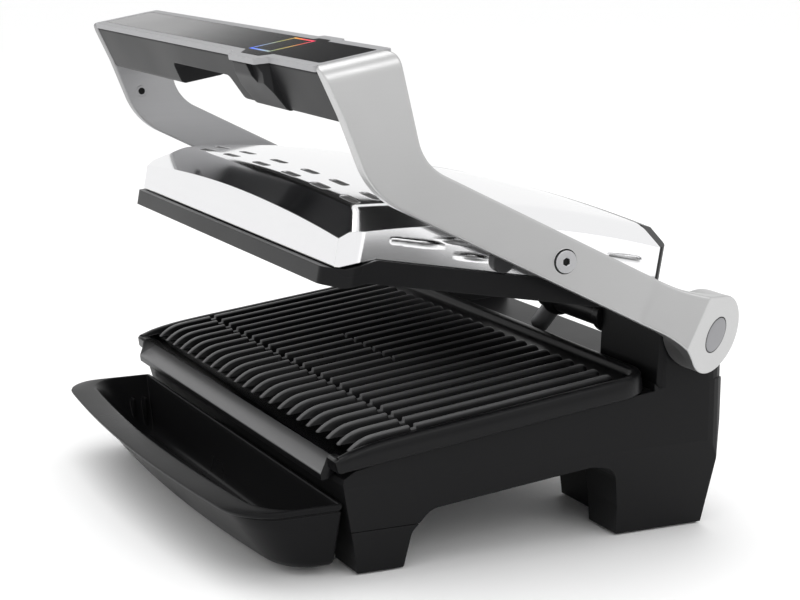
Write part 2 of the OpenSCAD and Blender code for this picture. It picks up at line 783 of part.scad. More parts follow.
module lower_plate() color([0.13, 0.13, 0.14])
    at_plate()
        difference() {
            union() {
                // body with its rim, rounded at the rear corners
                intersection() {
                    linear_extrude(30)
                        polygon(rounded([
                            [-plate_half, 4, 2], [plate_half, 4, 2], [plate_half, plate_l, 18],
                            [-plate_half, plate_l, 18]
                        ]));
                    side(-big, big)
                        polygon(rounded([
                            [3, -3.6, 0], [14, skirt_t - 1, 8], [28, skirt_t, 10], [plate_l, skirt_t, 0],
                            [plate_l, rib_t - 1, 3], [30, rib_t - 2.2, 20], [12, rib_t - 4.6, 10], [3, 7.5, 2]
                        ]));
                }
                // drain lip
                side(-lip_half, lip_half)
                    polygon(rounded([
                        [0, -3.4, 1], [3, -4, 1], [16, skirt_t - 1, 3], [30, skirt_t, 0], [30, floor_t, 0],
                        [20, floor_t, 4], [14, 5.2, 6], [0, 0.4, 1]
                    ]));
            }
            // hollow between the rims, down to the grooves
            difference() {
                linear_extrude(60)
                    polygon(rounded([
                        [-lip_half, -10, 0], [lip_half, -10, 0], [lip_half, 12, 8], [plate_half - 6, 24, 10],
                        [plate_half - 6, plate_l - 5, 14], [-plate_half + 6, plate_l - 5, 14],
                        [-plate_half + 6, 24, 10], [-lip_half, 12, 8]
                    ]));
                side(-big, big)
                    polygon(rounded([
                        [-20, -40, 0], [big, -40, 0], [big, floor_t, 0], [22, floor_t, 6], [13, 5.2, 6],
                        [0, 0.4, 1], [-20, -7, 0]
                    ]));
                difference() {
                    intersection() {
                        translate([0, 0, floor_t]) rib_bars(11, rib_end);
                        side(-big, big)
                            polygon(rounded([
                                [13, 0, 0], [rib_end, 0, 0], [rib_end - 3, rib_t, 2], [27, rib_t, 16], [11, 4, 3]
                            ]));
                    }
                    // row of notches across the ribs
                    block(-big, big, notch_y - notch_w / 2, notch_y + notch_w / 2, rib_t - 2, rib_t + 5);
                }
            }
            // underside recess around the heating element
            block(-plate_half + 6, plate_half - 6, 32, plate_l - 6, -5, floor_t - 4);
            for (i = [-1, 1])
                translate([i * (plate_half - 11), plate_l - 3, skirt_t - 1]) cylinder(h = 3, r = 3);
        }
lip_half = plate_half - 14;
rib_end = plate_l - 19;
notch_y = 51;
notch_w = 4;

module upper_plate() color([0.14, 0.14, 0.15])
    at_lid() {
        difference() {
            intersection() {
                linear_extrude(100, center = true)
                    polygon(rounded([
                        [-uw, lid_front + 10, 6], [-uw + 12, lid_front - 1, 6], [uw - 12, lid_front - 1, 6],
                        [uw, lid_front + 10, 6], [uw, lid_rear_u - 3, 16], [-uw, lid_rear_u - 3, 16]
                    ]));
                side(-big, big)
                    polygon(rounded([
                        [lid_front - 2, rim_w - 7.5, 1], [lid_front + 8, rim_w - 6.8, 8], [-89, rim_w - fit, 8],
                        [big, rim_w - fit, 0], [big, rim_w - rim_deep, 0], [-92, rim_w - rim_deep, 10],
                        [lid_front + 8, rim_w - rim_deep - 4, 6], [lid_front - 2, rim_w - rim_deep - 4, 1]
                    ]));
            }
            // face recess, down to the grooves
            difference() {
                linear_extrude(100, center = true)
                    polygon(rounded([
                        [-uw + 5, lid_front + 16, 8], [uw - 5, lid_front + 16, 8], [uw - 5, lid_rear_u - 8, 12],
                        [-uw + 5, lid_rear_u - 8, 12]
                    ]));
                block(-big, big, -big, big, rim_w - rim_deep + rib_h, 100);
                translate([0, 0, rim_w - rim_deep + rib_h]) mirror([0, 0, 1])
                    rib_bars(lid_front + 22, lid_rear_u - 16);
            }
            // back recess for the heating element
            block(-uw + 8, uw - 8, lid_front + 22, lid_rear_u - 12, rim_w - rim_deep + rib_h + 3, 20);
        }
    }
uw = lid_half + 2.5;
rim_deep = 12.1;

// --- drip tray ---------------------------------------------------------------

tray_lo = 5;
tray_back = 9;
tray_slope = 28;
bow_r = 1300;
tray_corner = 26;
tray_half = base_half - tray_inset;
tray_draw = 13;

// Body of the tray: a bowed front that slopes in, drawn-in sides, round corners
module tray_form(g, nose, z0, z1) {
    t = tray_half - g;
    b = tray_half - tray_draw - g;
    intersection() {
        translate([0, nose + g + bow_r, tray_lo])
            cylinder(h = tray_z - tray_lo, r1 = bow_r - tray_slope, r2 = bow_r, $fn = 256);
        front(-big / 2, tray_back - g)
            polygon([[-b, tray_lo], [b, tray_lo], [t, tray_z], [-t, tray_z]]);
        translate([0, 0, z0])
            linear_extrude(z1 - z0)
                polygon(rounded([
                    [-t, nose + g - 1, tray_corner], [t, nose + g - 1, tray_corner], [t, big, 0], [-t, big, 0]
                ]));
    }
}

module drip_tray() color([0.13, 0.13, 0.14])
    at_lip() {
        difference() {
            union() {
                tray_form(0, tray_nose + 3, tray_lo, tray_z - 4);
                // rim flange, standing out past a fine groove
                intersection() {
                    translate([0, 0, tray_z - 3.2])
                        linear_extrude(3.2)
                            polygon(rounded([
                                [-tray_half, tray_nose - 1, tray_corner], [tray_half, tray_nose - 1, tray_corner],
                                [tray_half, tray_back, 3], [-tray_half, tray_back, 3]
                            ]));
                    translate([0, tray_nose + bow_r, 0]) cylinder(h = 60, r = bow_r, $fn = 256);
                }
                tray_form(1.2, tray_nose + 3, tray_z - 8, tray_z - 1);
            }
            translate([0, 0, 0.01]) tray_form(tray_wall, tray_nose + flange_w - tray_wall, tray_lo + tray_wall, tray_z);
        }
        // runners that slide in the base
        both()
            block(runner_x - runner_w / 2, runner_x + runner_w / 2, tray_back - 1, 12 + runner_l,
                runner_z, runner_z + runner_t);
        // stiffening ribs inside the left wall
        for (y = [-6, 4 - tray_wall])
            block(-tray_half + 8, -tray_half + 14, y - 1, y + 1, tray_lo + 1, tray_z - 12);
    }

// --- assembly ----------------------------------------------------------------

base_shell();
base_bottom();
base_screws();
rubber_feet();
cord_gland();
lower_reflector();
lower_element();
element_clips();
hinge_pins();
hinge_bushes();
wire_duct();
wire_sleeve();
arm_right();
arm_left();
hub_cap_right();
hub_cap_left();
pivot_pins();
handle_shell();
handle_top();
display_panel();
indicator_ring();
arm_screws();
lid_cover();
lid_rear();
lid_frame();
upper_reflector();
upper_element();
release_button();
upper_plate();
lower_plate();
drip_tray();
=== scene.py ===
"""Electric indoor contact grill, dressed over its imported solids.

The grill stands open: a black base with a drip tray in front, two satin metal arms
joined by a dark grip, and a polished head between the arms. The shared frame is in
metres, +Z is up, +X is the user's right and the user stands on the -Y side; the classes
hold their sizes in millimetres, in local frames.
"""

from __future__ import annotations

import logging
import math
from dataclasses import dataclass, field
from enum import Enum

import bpy
import numpy as np
from mathutils import Matrix, Vector

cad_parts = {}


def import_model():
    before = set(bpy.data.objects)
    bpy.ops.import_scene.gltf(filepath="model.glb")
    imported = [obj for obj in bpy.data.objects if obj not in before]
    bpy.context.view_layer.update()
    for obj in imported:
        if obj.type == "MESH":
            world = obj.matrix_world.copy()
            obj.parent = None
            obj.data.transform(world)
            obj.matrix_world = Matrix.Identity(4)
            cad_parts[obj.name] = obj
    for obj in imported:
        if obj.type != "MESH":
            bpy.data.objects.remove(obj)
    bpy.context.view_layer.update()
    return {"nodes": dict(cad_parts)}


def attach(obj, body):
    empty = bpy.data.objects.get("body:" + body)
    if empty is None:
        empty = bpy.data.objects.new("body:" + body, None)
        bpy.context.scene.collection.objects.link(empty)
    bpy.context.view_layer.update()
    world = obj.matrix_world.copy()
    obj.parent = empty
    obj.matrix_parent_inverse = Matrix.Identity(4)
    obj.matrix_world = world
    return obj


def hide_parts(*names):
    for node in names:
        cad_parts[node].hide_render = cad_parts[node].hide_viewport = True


LOG = logging.getLogger("grill")
MM = 0.001
PICTURE_PX = 800.0
SENSOR_MM = 36.0
LOWEST_ROUGHNESS = 0.02
# Depths under the arm's shoulder at which its stations lie, in millimetres
SHOULDER_DEPTHS = np.array([0, 0.25, 0.6, 1.1, 1.8, 2.8, 4.2, 5.6, 7.0, 9.0])
Colour = tuple[float, float, float]
Point = tuple[float, float, float]
Axes = tuple[np.ndarray, np.ndarray, np.ndarray, np.ndarray]


class Body(Enum):
    """The moving groups of the grill."""

    BASE = "base"
    ARMS = "arms"
    HEAD = "head"
    BUTTON = "button"
    TRAY = "tray"


class Grain(Enum):
    """How the fine relief of a surface runs."""

    MOULDED = "moulded"
    BRUSHED = "brushed"


# --- shader groups -----------------------------------------------------------


def add_node(tree: bpy.types.ShaderNodeTree, kind: str, inputs: dict[str | int, object] | None = None,
             **settings: object) -> bpy.types.Node:
    """Adds a shader node and sets it up.

    Args:
        tree: the tree it goes into.
        kind: its type, without the leading ShaderNode.
        inputs: plain values for its sockets, by name or number.
        settings: values for its own properties, set before the sockets.

    Returns:
        The new node.
    """
    node = tree.nodes.new(f"ShaderNode{kind}")
    for key, value in settings.items():
        setattr(node, key, value)
    for key, value in (inputs or {}).items():
        node.inputs[key].default_value = value
    return node


@dataclass
class Groups:
    """Shader node groups that several finishes share.

    Attributes:
        made: the groups by name, built once each.
    """

    made: dict[str, bpy.types.ShaderNodeTree] = field(default_factory=dict)

    def _new(self, name: str, inputs: list[tuple[str, float]], outputs: list[tuple[str, str]],
             ) -> tuple[bpy.types.ShaderNodeTree, bpy.types.Node, bpy.types.Node]:
        """Starts a group with named sockets.

        Args:
            name: the group's name.
            inputs: (socket name, default value) for each input, all plain numbers.
            outputs: (socket name, Float, Color or Vector) for each output.

        Returns:
            The tree with its input and output nodes.
        """
        tree = bpy.data.node_groups.new(name, "ShaderNodeTree")
        for label, value in inputs:
            socket = tree.interface.new_socket(name=label, in_out="INPUT", socket_type="NodeSocketFloat")
            socket.default_value = value
        for label, kind in outputs:
            tree.interface.new_socket(name=label, in_out="OUTPUT", socket_type=f"NodeSocket{kind}")
        gin = tree.nodes.new("NodeGroupInput")
        gout = tree.nodes.new("NodeGroupOutput")
        self.made[name] = tree
        return tree, gin, gout

    def moulded_relief(self) -> bpy.types.ShaderNodeTree:
        """Spark-eroded plastic: fine pebbling on a slow unevenness.

        Returns:
            The group, with a relief height and a slow cloud.
        """
        if "moulded relief" in self.made:
            return self.made["moulded relief"]
        tree, gin, gout = self._new("moulded relief", [("Scale", 900.0), ("Blotch", 14.0)],
                                    [("Height", "Float"), ("Cloud", "Float")])
        link = tree.links.new
        place = add_node(tree, "TexCoord")
        for detail, scale, output in ((2.0, "Scale", "Height"), (3.0, "Blotch", "Cloud")):
            noise = add_node(tree, "TexNoise", {"Detail": detail})
            link(place.outputs["Object"], noise.inputs["Vector"])
            link(gin.outputs[scale], noise.inputs["Scale"])
            link(noise.outputs["Fac"], gout.inputs[output])
        return tree

    def brushed_grain(self) -> bpy.types.ShaderNodeTree:
        """Brushed metal: noise drawn out along Y, over a slow unevenness.

        Returns:
            The group, with a relief height, the same lines as a streak mask and a slow cloud.
        """
        if "brushed grain" in self.made:
            return self.made["brushed grain"]
        tree, gin, gout = self._new("brushed grain", [("Along", 40.0), ("Across", 1600.0)],
                                    [("Height", "Float"), ("Streak", "Float"), ("Cloud", "Float")])
        link = tree.links.new
        place = add_node(tree, "TexCoord")
        stretch = add_node(tree, "CombineXYZ")
        for axis, amount in (("X", "Across"), ("Y", "Along"), ("Z", "Across")):
            link(gin.outputs[amount], stretch.inputs[axis])
        product = add_node(tree, "VectorMath", operation="MULTIPLY")
        link(place.outputs["Object"], product.inputs[0])
        link(stretch.outputs["Vector"], product.inputs[1])
        lines = add_node(tree, "TexNoise", {"Scale": 1.0, "Detail": 3.0})
        link(product.outputs["Vector"], lines.inputs["Vector"])
        cloud = add_node(tree, "TexNoise", {"Scale": 22.0})
        link(place.outputs["Object"], cloud.inputs["Vector"])
        link(lines.outputs["Fac"], gout.inputs["Height"])
        link(lines.outputs["Fac"], gout.inputs["Streak"])
        link(cloud.outputs["Fac"], gout.inputs["Cloud"])
        return tree

    def edge_rounding_and_light(self) -> bpy.types.ShaderNodeTree:
        """Mask of the rounded edges for painted highlight and shade, from how far a softened normal leaves the
        true one.

        Returns:
            The group, with the mask and the softened normal.
        """
        if "edge rounding and light" in self.made:
            return self.made["edge rounding and light"]
        tree, gin, gout = self._new("edge rounding and light", [("Radius", 0.001), ("Gain", 2.0)],
                                    [("Mask", "Float"), ("Normal", "Vector")])
        link = tree.links.new
        bevel = add_node(tree, "Bevel", samples=4)
        link(gin.outputs["Radius"], bevel.inputs["Radius"])
        true = add_node(tree, "NewGeometry")
        dot = add_node(tree, "VectorMath", operation="DOT_PRODUCT")
        link(bevel.outputs["Normal"], dot.inputs[0])
        link(true.outputs["Normal"], dot.inputs[1])
        turn = add_node(tree, "Math", {0: 1.0}, operation="SUBTRACT")
        link(dot.outputs["Value"], turn.inputs[1])
        gain = add_node(tree, "Math", operation="MULTIPLY", use_clamp=True)
        link(turn.outputs["Value"], gain.inputs[0])
        link(gin.outputs["Gain"], gain.inputs[1])
        link(gain.outputs["Value"], gout.inputs["Mask"])
        link(bevel.outputs["Normal"], gout.inputs["Normal"])
        return tree

    def colour_sweep(self) -> bpy.types.ShaderNodeTree:
        """Colours of the light frame, from cold at its front left to hot at its rear right.

        Returns:
            The group, with the colour at each place.
        """
        if "colour sweep" in self.made:
            return self.made["colour sweep"]
        tree, gin, gout = self._new("colour sweep", [("Start", -0.060), ("End", -0.028)], [("Color", "Color")])
        link = tree.links.new
        place = add_node(tree, "TexCoord")
        dot = add_node(tree, "VectorMath", {1: (0.4255, 0.905, 0.0)}, operation="DOT_PRODUCT")
        link(place.outputs["Object"], dot.inputs[0])
        span = add_node(tree, "MapRange")
        link(dot.outputs["Value"], span.inputs["Value"])
        link(gin.outputs["Start"], span.inputs["From Min"])
        link(gin.outputs["End"], span.inputs["From Max"])
        ramp = add_node(tree, "ValToRGB")
        stops = ((0.0, (0.02, 0.10, 0.75)), (0.22, (0.25, 0.35, 0.55)), (0.45, (0.35, 0.40, 0.12)),
                 (0.68, (0.65, 0.38, 0.04)), (0.85, (0.8, 0.05, 0.03)), (1.0, (0.75, 0.02, 0.08)))
        ramp.color_ramp.elements[1].position = 1.0
        for at, _ in stops[1:-1]:
            ramp.color_ramp.elements.new(at)
        for element, (_, colour) in zip(ramp.color_ramp.elements, stops):
            element.color = (*colour, 1.0)
        link(span.outputs["Result"], ramp.inputs["Fac"])
        link(ramp.outputs["Color"], gout.inputs["Color"])
        return tree


GROUPS = Groups()


@dataclass(frozen=True)
class Finish:
    """One finish of the grill's pieces.

    Attributes:
        name: the material's name.
        colour: base colour, linear.
        roughness: middle roughness.
        metallic: 1 for bare metal.
        grain: how the relief runs.
        relief: bump strength.
        depth: bump distance in metres.
        mottle: how much the slow unevenness changes the colour.
        rough_spread: how much the relief changes the roughness.
        edge: rounding of the sharp edges, in metres.
        edge_lift: how much lighter a rounded edge is, negative for darker: painted highlight on the edges, painted
            shade where negative.
        scale: how fine the relief is.
        glow: emission strength.
        spec: strength of the plain reflection, 0.5 for common plastic.
        masked: colour where the mesh's mask is 1.
        masked_rough: roughness there.
    """

    name: str
    colour: Colour
    roughness: float
    metallic: float = 0.0
    grain: Grain = Grain.MOULDED
    relief: float = 0.15
    depth: float = 0.0001
    mottle: float = 0.12
    rough_spread: float = 0.1
    edge: float = 0.0008
    edge_lift: float = 0.15
    scale: float = 900.0
    glow: float = 0.0
    spec: float = 0.3
    masked: Colour = (0.004, 0.004, 0.004)
    masked_rough: float = 0.7

    def material(self) -> bpy.types.Material:
        """Builds the material, or gives the one built before.

        Returns:
            The finished node material.
        """
        found = bpy.data.materials.get(self.name)
        if found:
            return found
        mat = bpy.data.materials.new(self.name)
        mat.use_nodes = True
        tree = mat.node_tree
        link = tree.links.new
        shader = tree.nodes["Principled BSDF"]
        shader.inputs["Metallic"].default_value = self.metallic
        shader.inputs["Specular IOR Level"].default_value = self.spec
        brushed = self.grain is Grain.BRUSHED
        relief = add_node(tree, "Group", None if brushed else {"Scale": self.scale},
                          node_tree=GROUPS.brushed_grain() if brushed else GROUPS.moulded_relief())
        edge = add_node(tree, "Group", {"Radius": self.edge}, node_tree=GROUPS.edge_rounding_and_light())
        mask = add_node(tree, "Attribute", attribute_name="mask")

        low = tuple(c * (1.0 - self.mottle) for c in self.colour)
        high = tuple(min(1.0, c * (1.0 + self.mottle)) for c in self.colour)
        # Painted highlight on the rounded edges, painted shade where edge_lift is negative
        edge_lit = tuple(min(1.0, max(0.0, c + self.edge_lift * (0.25 + c))) for c in self.colour)
        shade = add_node(tree, "Mix", {"A": (*low, 1.0), "B": (*high, 1.0)}, data_type="RGBA")
        lift = add_node(tree, "Mix", {"B": (*edge_lit, 1.0)}, data_type="RGBA")
        tint = add_node(tree, "Mix", {"B": (*self.masked, 1.0)}, data_type="RGBA")
        link(relief.outputs["Cloud"], shade.inputs["Factor"])
        link(edge.outputs["Mask"], lift.inputs["Factor"])
        link(mask.outputs["Fac"], tint.inputs["Factor"])
        link(shade.outputs["Result"], lift.inputs["A"])
        link(lift.outputs["Result"], tint.inputs["A"])
        link(tint.outputs["Result"], shader.inputs["Base Color"])

        rough = add_node(tree, "MapRange", {"To Min": max(LOWEST_ROUGHNESS, self.roughness - self.rough_spread),
                                            "To Max": min(1.0, self.roughness + self.rough_spread)})
        dull = add_node(tree, "Mix", {"B": self.masked_rough})
        link(relief.outputs["Streak" if brushed else "Cloud"], rough.inputs["Value"])
        link(mask.outputs["Fac"], dull.inputs["Factor"])
        link(rough.outputs["Result"], dull.inputs["A"])
        link(dull.outputs["Result"], shader.inputs["Roughness"])

        bump = add_node(tree, "Bump", {"Strength": self.relief, "Distance": self.depth})
        link(relief.outputs["Height"], bump.inputs["Height"])
        link(edge.outputs["Normal"], bump.inputs["Normal"])
        link(bump.outputs["Normal"], shader.inputs["Normal"])
        if self.glow > 0.0:
            hue = add_node(tree, "Group", node_tree=GROUPS.colour_sweep())
            link(hue.outputs["Color"], shader.inputs["Emission Color"])
            link(hue.outputs["Color"], shader.inputs["Base Color"])
            shader.inputs["Emission Strength"].default_value = self.glow
        return mat


BASE_PLASTIC = Finish(
    "base plastic", (0.007, 0.007, 0.0075), 0.40, relief=0.35, rough_spread=0.06, edge_lift=0.03, spec=0.12,
)
RUBBER = Finish("rubber", (0.02, 0.02, 0.02), 0.8)
STEEL = Finish("machined steel", (0.5, 0.5, 0.51), 0.32, 1.0, Grain.BRUSHED)
REFLECTOR = Finish("reflector sheet", (0.55, 0.55, 0.56), 0.38, 1.0, Grain.BRUSHED)
HOT_TUBE = Finish("heating tube", (0.10, 0.095, 0.09), 0.55, 0.6, mottle=0.3)
ARM_METAL = Finish(
    "arm metal", (0.50, 0.50, 0.50), 0.40, 1.0, Grain.BRUSHED, relief=0.16, depth=0.00003, mottle=0.04,
    rough_spread=0.08, edge=0.0006, edge_lift=0.12, masked=(0.03, 0.03, 0.03),
)
# The left arm is darker than the right one only because the photograph shows it in shade
ARM_SHADED = Finish(
    "arm metal, far side", (0.30, 0.30, 0.305), 0.44, 1.0, Grain.BRUSHED, relief=0.16, depth=0.00003,
    mottle=0.05, rough_spread=0.08, edge=0.0006, edge_lift=0.25, masked=(0.02, 0.02, 0.02),
)
CAP_GREY = Finish("hub cap", (0.26, 0.26, 0.27), 0.5, 0.3)
GRIP = Finish("grip plastic", (0.020, 0.020, 0.021), 0.36, relief=0.3, edge=0.001, edge_lift=0.08, spec=0.06)
BEZEL = Finish("bezel", (0.030, 0.030, 0.032), 0.38, 0.4, relief=0.1, edge_lift=0.25)
GLASS = Finish(
    "display glass", (0.008, 0.008, 0.009), 0.16, relief=0.02, rough_spread=0.03, edge=0.0004, edge_lift=0.0,
)
LIGHT = Finish("light guide", (0.5, 0.5, 0.5), 0.3, glow=0.45)
# Lid sheet: the masked colour is painted shade inside the vents and louvres, and the negative edge lift paints
# shade on the rounded edges
LID_METAL = Finish(
    "lid sheet", (0.86, 0.86, 0.87), 0.09, 1.0, relief=0.006, depth=0.00002, mottle=0.01, rough_spread=0.02,
    scale=90.0, edge=0.0004, edge_lift=-0.35, masked=(0.10, 0.10, 0.10), masked_rough=0.4,
)
LID_BLACK = Finish("lid plastic", (0.006, 0.006, 0.0065), 0.3, edge_lift=0.03, spec=0.15)
# The mask stands in for the light that the photograph shows on the lip and on the rib tops
PLATE_COAT = Finish(
    "plate coating", (0.006, 0.006, 0.0065), 0.30, relief=0.35, scale=1500.0, edge=0.0008, edge_lift=0.06,
    spec=0.15, masked=(0.16, 0.16, 0.162), masked_rough=0.32,
)
TRAY_PLASTIC = Finish("tray plastic", (0.009, 0.009, 0.0095), 0.30, relief=0.2, edge_lift=0.10, spec=0.05)
SLEEVE = Finish("braided sleeve", (0.30, 0.30, 0.31), 0.4, 0.7, relief=0.6, scale=1500.0, mottle=0.3)
BUTTON = Finish("button plastic", (0.02, 0.02, 0.021), 0.4)

DRESS: dict[str, Finish] = {
    "base_shell": BASE_PLASTIC, "base_bottom": BASE_PLASTIC, "base_screws": STEEL, "rubber_feet": RUBBER,
    "cord_gland": RUBBER, "lower_reflector": REFLECTOR, "lower_element": HOT_TUBE, "element_clips": STEEL,
    "hinge_pins": STEEL, "hinge_bushes": BASE_PLASTIC, "wire_duct": LID_BLACK, "wire_sleeve": SLEEVE,
    "arm_right": ARM_METAL, "arm_left": ARM_METAL, "hub_cap_right": CAP_GREY, "hub_cap_left": CAP_GREY,
    "pivot_pins": STEEL, "arm_screws": STEEL, "handle_shell": GRIP, "handle_top": BEZEL,
    "display_panel": GLASS, "indicator_ring": LIGHT, "lid_cover": LID_METAL, "lid_rear": LID_BLACK,
    "lid_frame": LID_BLACK, "upper_reflector": REFLECTOR, "upper_element": HOT_TUBE, "release_button": BUTTON,
    "upper_plate": PLATE_COAT, "lower_plate": PLATE_COAT, "drip_tray": TRAY_PLASTIC,
}


def dress_solids(frame: dict) -> None:
    """Gives every carried-over solid its finish.

    Args:
        frame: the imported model, as loaded.
    """
    for name, obj in frame["nodes"].items():
        obj.material_slots[0].material = DRESS[name].material()
        LOG.info("dressed %s", name)


# --- surfaces ------------------------------------------------------------------


@dataclass(frozen=True)
class Place:
    """A local frame in millimetres: an origin and a turn about X.

    Attributes:
        y: origin's distance behind the world's middle.
        z: origin's height.
        tilt: rise toward the rear, in degrees.
    """

    y: float
    z: float
    tilt: float = 0.0

    def world(self, pts: np.ndarray) -> np.ndarray:
        """Turns and moves points into the shared frame.

        Args:
            pts: (..., 3) local points in millimetres.

        Returns:
            The points in metres.
        """
        c, s = math.cos(math.radians(self.tilt)), math.sin(math.radians(self.tilt))
        out = np.empty_like(pts, dtype=float)
        out[..., 0] = pts[..., 0]
        out[..., 1] = self.y + c * pts[..., 1] - s * pts[..., 2]
        out[..., 2] = self.z + s * pts[..., 1] + c * pts[..., 2]
        return out * MM


LIP = Place(-94.0, 0.0)
PLATE = Place(-94.0, 55.5, 7.0)
LID = Place(22.137, 159.297, -10.0)


def rounded(corners: list[tuple[float, float, float]], steps: int = 6) -> np.ndarray:
    """Closed outline with a circular arc at each corner.

    Each corner is replaced by the arc of its radius that touches both sides.

    Args:
        corners: (a, b, radius) in order round the outline.
        steps: points on each arc, less one.

    Returns:
        (n, 2) points.
    """
    c = np.array(corners, float)
    p, r = c[:, :2], np.maximum(c[:, 2], 1e-3)
    u = np.roll(p, 1, 0) - p
    v = np.roll(p, -1, 0) - p
    u /= np.linalg.norm(u, axis=1, keepdims=True)
    v /= np.linalg.norm(v, axis=1, keepdims=True)
    half = np.arccos(np.clip((u * v).sum(1), -1, 1)) / 2
    mid = u + v
    mid /= np.linalg.norm(mid, axis=1, keepdims=True)
    centre = p + mid * (r / np.sin(half))[:, None]
    start = p + u * (r / np.tan(half))[:, None] - centre
    end = p + v * (r / np.tan(half))[:, None] - centre
    a0 = np.arctan2(start[:, 1], start[:, 0])
    d = np.arctan2(end[:, 1], end[:, 0]) - a0
    d = (d + math.pi) % (2 * math.pi) - math.pi
    t = a0[:, None] + d[:, None] * np.linspace(0, 1, steps + 1)[None]
    arc = centre[:, None] + r[:, None, None] * np.stack([np.cos(t), np.sin(t)], -1)
    return arc.reshape(-1, 2)


def inward(outline: np.ndarray) -> np.ndarray:
    """Unit normals of a closed outline, pointing to its inside.

    Args:
        outline: (n, 2) points.

    Returns:
        (n, 2) normals.
    """
    nxt, prv = np.roll(outline, -1, 0), np.roll(outline, 1, 0)
    t = (nxt - outline) / np.maximum(np.linalg.norm(nxt - outline, axis=1, keepdims=True), 1e-9)
    t = t + (outline - prv) / np.maximum(np.linalg.norm(outline - prv, axis=1, keepdims=True), 1e-9)
    t /= np.maximum(np.linalg.norm(t, axis=1, keepdims=True), 1e-9)
    normal = np.stack([-t[:, 1], t[:, 0]], 1)
    area = (outline[:, 0] * nxt[:, 1] - nxt[:, 0] * outline[:, 1]).sum()
    return normal if area > 0 else -normal


@dataclass
class Shell:
    """A mesh gathered from closed surfaces.

    Attributes:
        points: vertex arrays, in metres.
        faces: faces, by vertex number.
        masks: one shading mask value for each vertex.
        count: vertices so far.
    """

    points: list[np.ndarray] = field(default_factory=list)
    faces: list[list[int]] = field(default_factory=list)
    masks: list[np.ndarray] = field(default_factory=list)
    count: int = 0

    def loft(self, rings: np.ndarray, mask: np.ndarray | None = None, cap: bool = True) -> None:
        """Adds a closed tube: rings of equal length, joined in order, capped at both ends.

        Args:
            rings: (stations, ring points, 3) in metres.
            mask: (stations, ring points) shading values, 0 to 1.
            cap: False where the last ring joins the first one.
        """
        n, m = rings.shape[:2]
        idx = np.arange(n * m).reshape(n, m)
        rows = idx if cap else np.vstack([idx, idx[:1]])
        a, b = rows[:-1], rows[1:]
        quads = np.stack([a, np.roll(a, -1, 1), np.roll(b, -1, 1), b], -1).reshape(-1, 4)
        centre = rings.reshape(-1, 3).mean(0)
        v = rings.reshape(-1, 3) - centre
        volume = np.einsum("ij,ij->i", v[quads[:, 0]], np.cross(v[quads[:, 1]], v[quads[:, 2]])).sum()
        volume += np.einsum("ij,ij->i", v[quads[:, 0]], np.cross(v[quads[:, 2]], v[quads[:, 3]])).sum()
        if cap:
            for ring, way in ((idx[0], -1), (idx[-1], 1)):
                w = v[ring]
                volume += way * np.einsum("j,ij->", w.mean(0), np.cross(w, np.roll(w, -1, 0)))
        caps = [idx[0][::-1].tolist(), idx[-1].tolist()] if cap else []
        if volume < 0:
            quads = quads[:, ::-1]
            caps = [c[::-1] for c in caps]
        self.faces += (quads + self.count).tolist() + [[i + self.count for i in c] for c in caps]
        self.points.append(rings.reshape(-1, 3))
        self.masks.append(np.zeros(n * m) if mask is None else mask.reshape(-1))
        self.count += n * m

    def slab(self, outline: np.ndarray, axis: int, lo: float, hi: float, place: Place,
             edge: tuple[float, float] = (1.0, 1.0), steps: int = 4) -> None:
        """Adds a plate with rounded edges: an outline drawn in two axes, spread along the third.

        The outline moves in by r (1 - sin a) while it travels r (1 - cos a) from each face.

        Args:
            outline: (n, 2) points in millimetres, in the two axes that remain, in order.
            axis: 0 for X, 1 for Y, 2 for Z.
            lo: where the plate starts.
            hi: where it ends.
            place: the local frame.
            edge: edge radius at lo and at hi.
            steps: rings on each rounded edge.
        """
        t = np.linspace(0, math.pi / 2, steps + 1)
        inset = np.concatenate([edge[0] * (1 - np.sin(t)), edge[1] * (1 - np.sin(t[::-1]))])
        depth = np.concatenate([lo + edge[0] * (1 - np.cos(t)), hi - edge[1] * (1 - np.cos(t[::-1]))])
        ring = outline[None] + inward(outline)[None] * inset[:, None, None]
        full = np.insert(ring, axis, np.broadcast_to(depth[:, None], ring.shape[:2]), axis=2)
        self.loft(place.world(full))

    def build(self, name: str, body: Body, finish: Finish, slot: str, angle: float = 40.0) -> bpy.types.Object:
        """Makes the object, smooth except across sharp turns, and hands it to its body.

        Args:
            name: the piece's name.
            body: the body it rides on.
            finish: its material.
            slot: the record's material slot, not used.
            angle: turns sharper than this stay crisp, in degrees.

        Returns:
            The finished object.
        """
        mesh = bpy.data.meshes.new(name)
        mesh.from_pydata(np.concatenate(self.points).tolist(), [], self.faces)
        mesh.validate()
        mesh.shade_smooth()
        mesh.set_sharp_from_angle(angle=math.radians(angle))
        layer = mesh.attributes.new("mask", "FLOAT", "POINT")
        layer.data.foreach_set("value", np.concatenate(self.masks).astype(np.float32))
        mesh.materials.append(finish.material())
        obj = bpy.data.objects.new(name, mesh)
        bpy.context.scene.collection.objects.link(obj)
        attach(obj, body.value)
        LOG.info("built %s, %d faces", name, len(mesh.polygons))
        return obj


# --- drip tray ---------------------------------------------------------------------


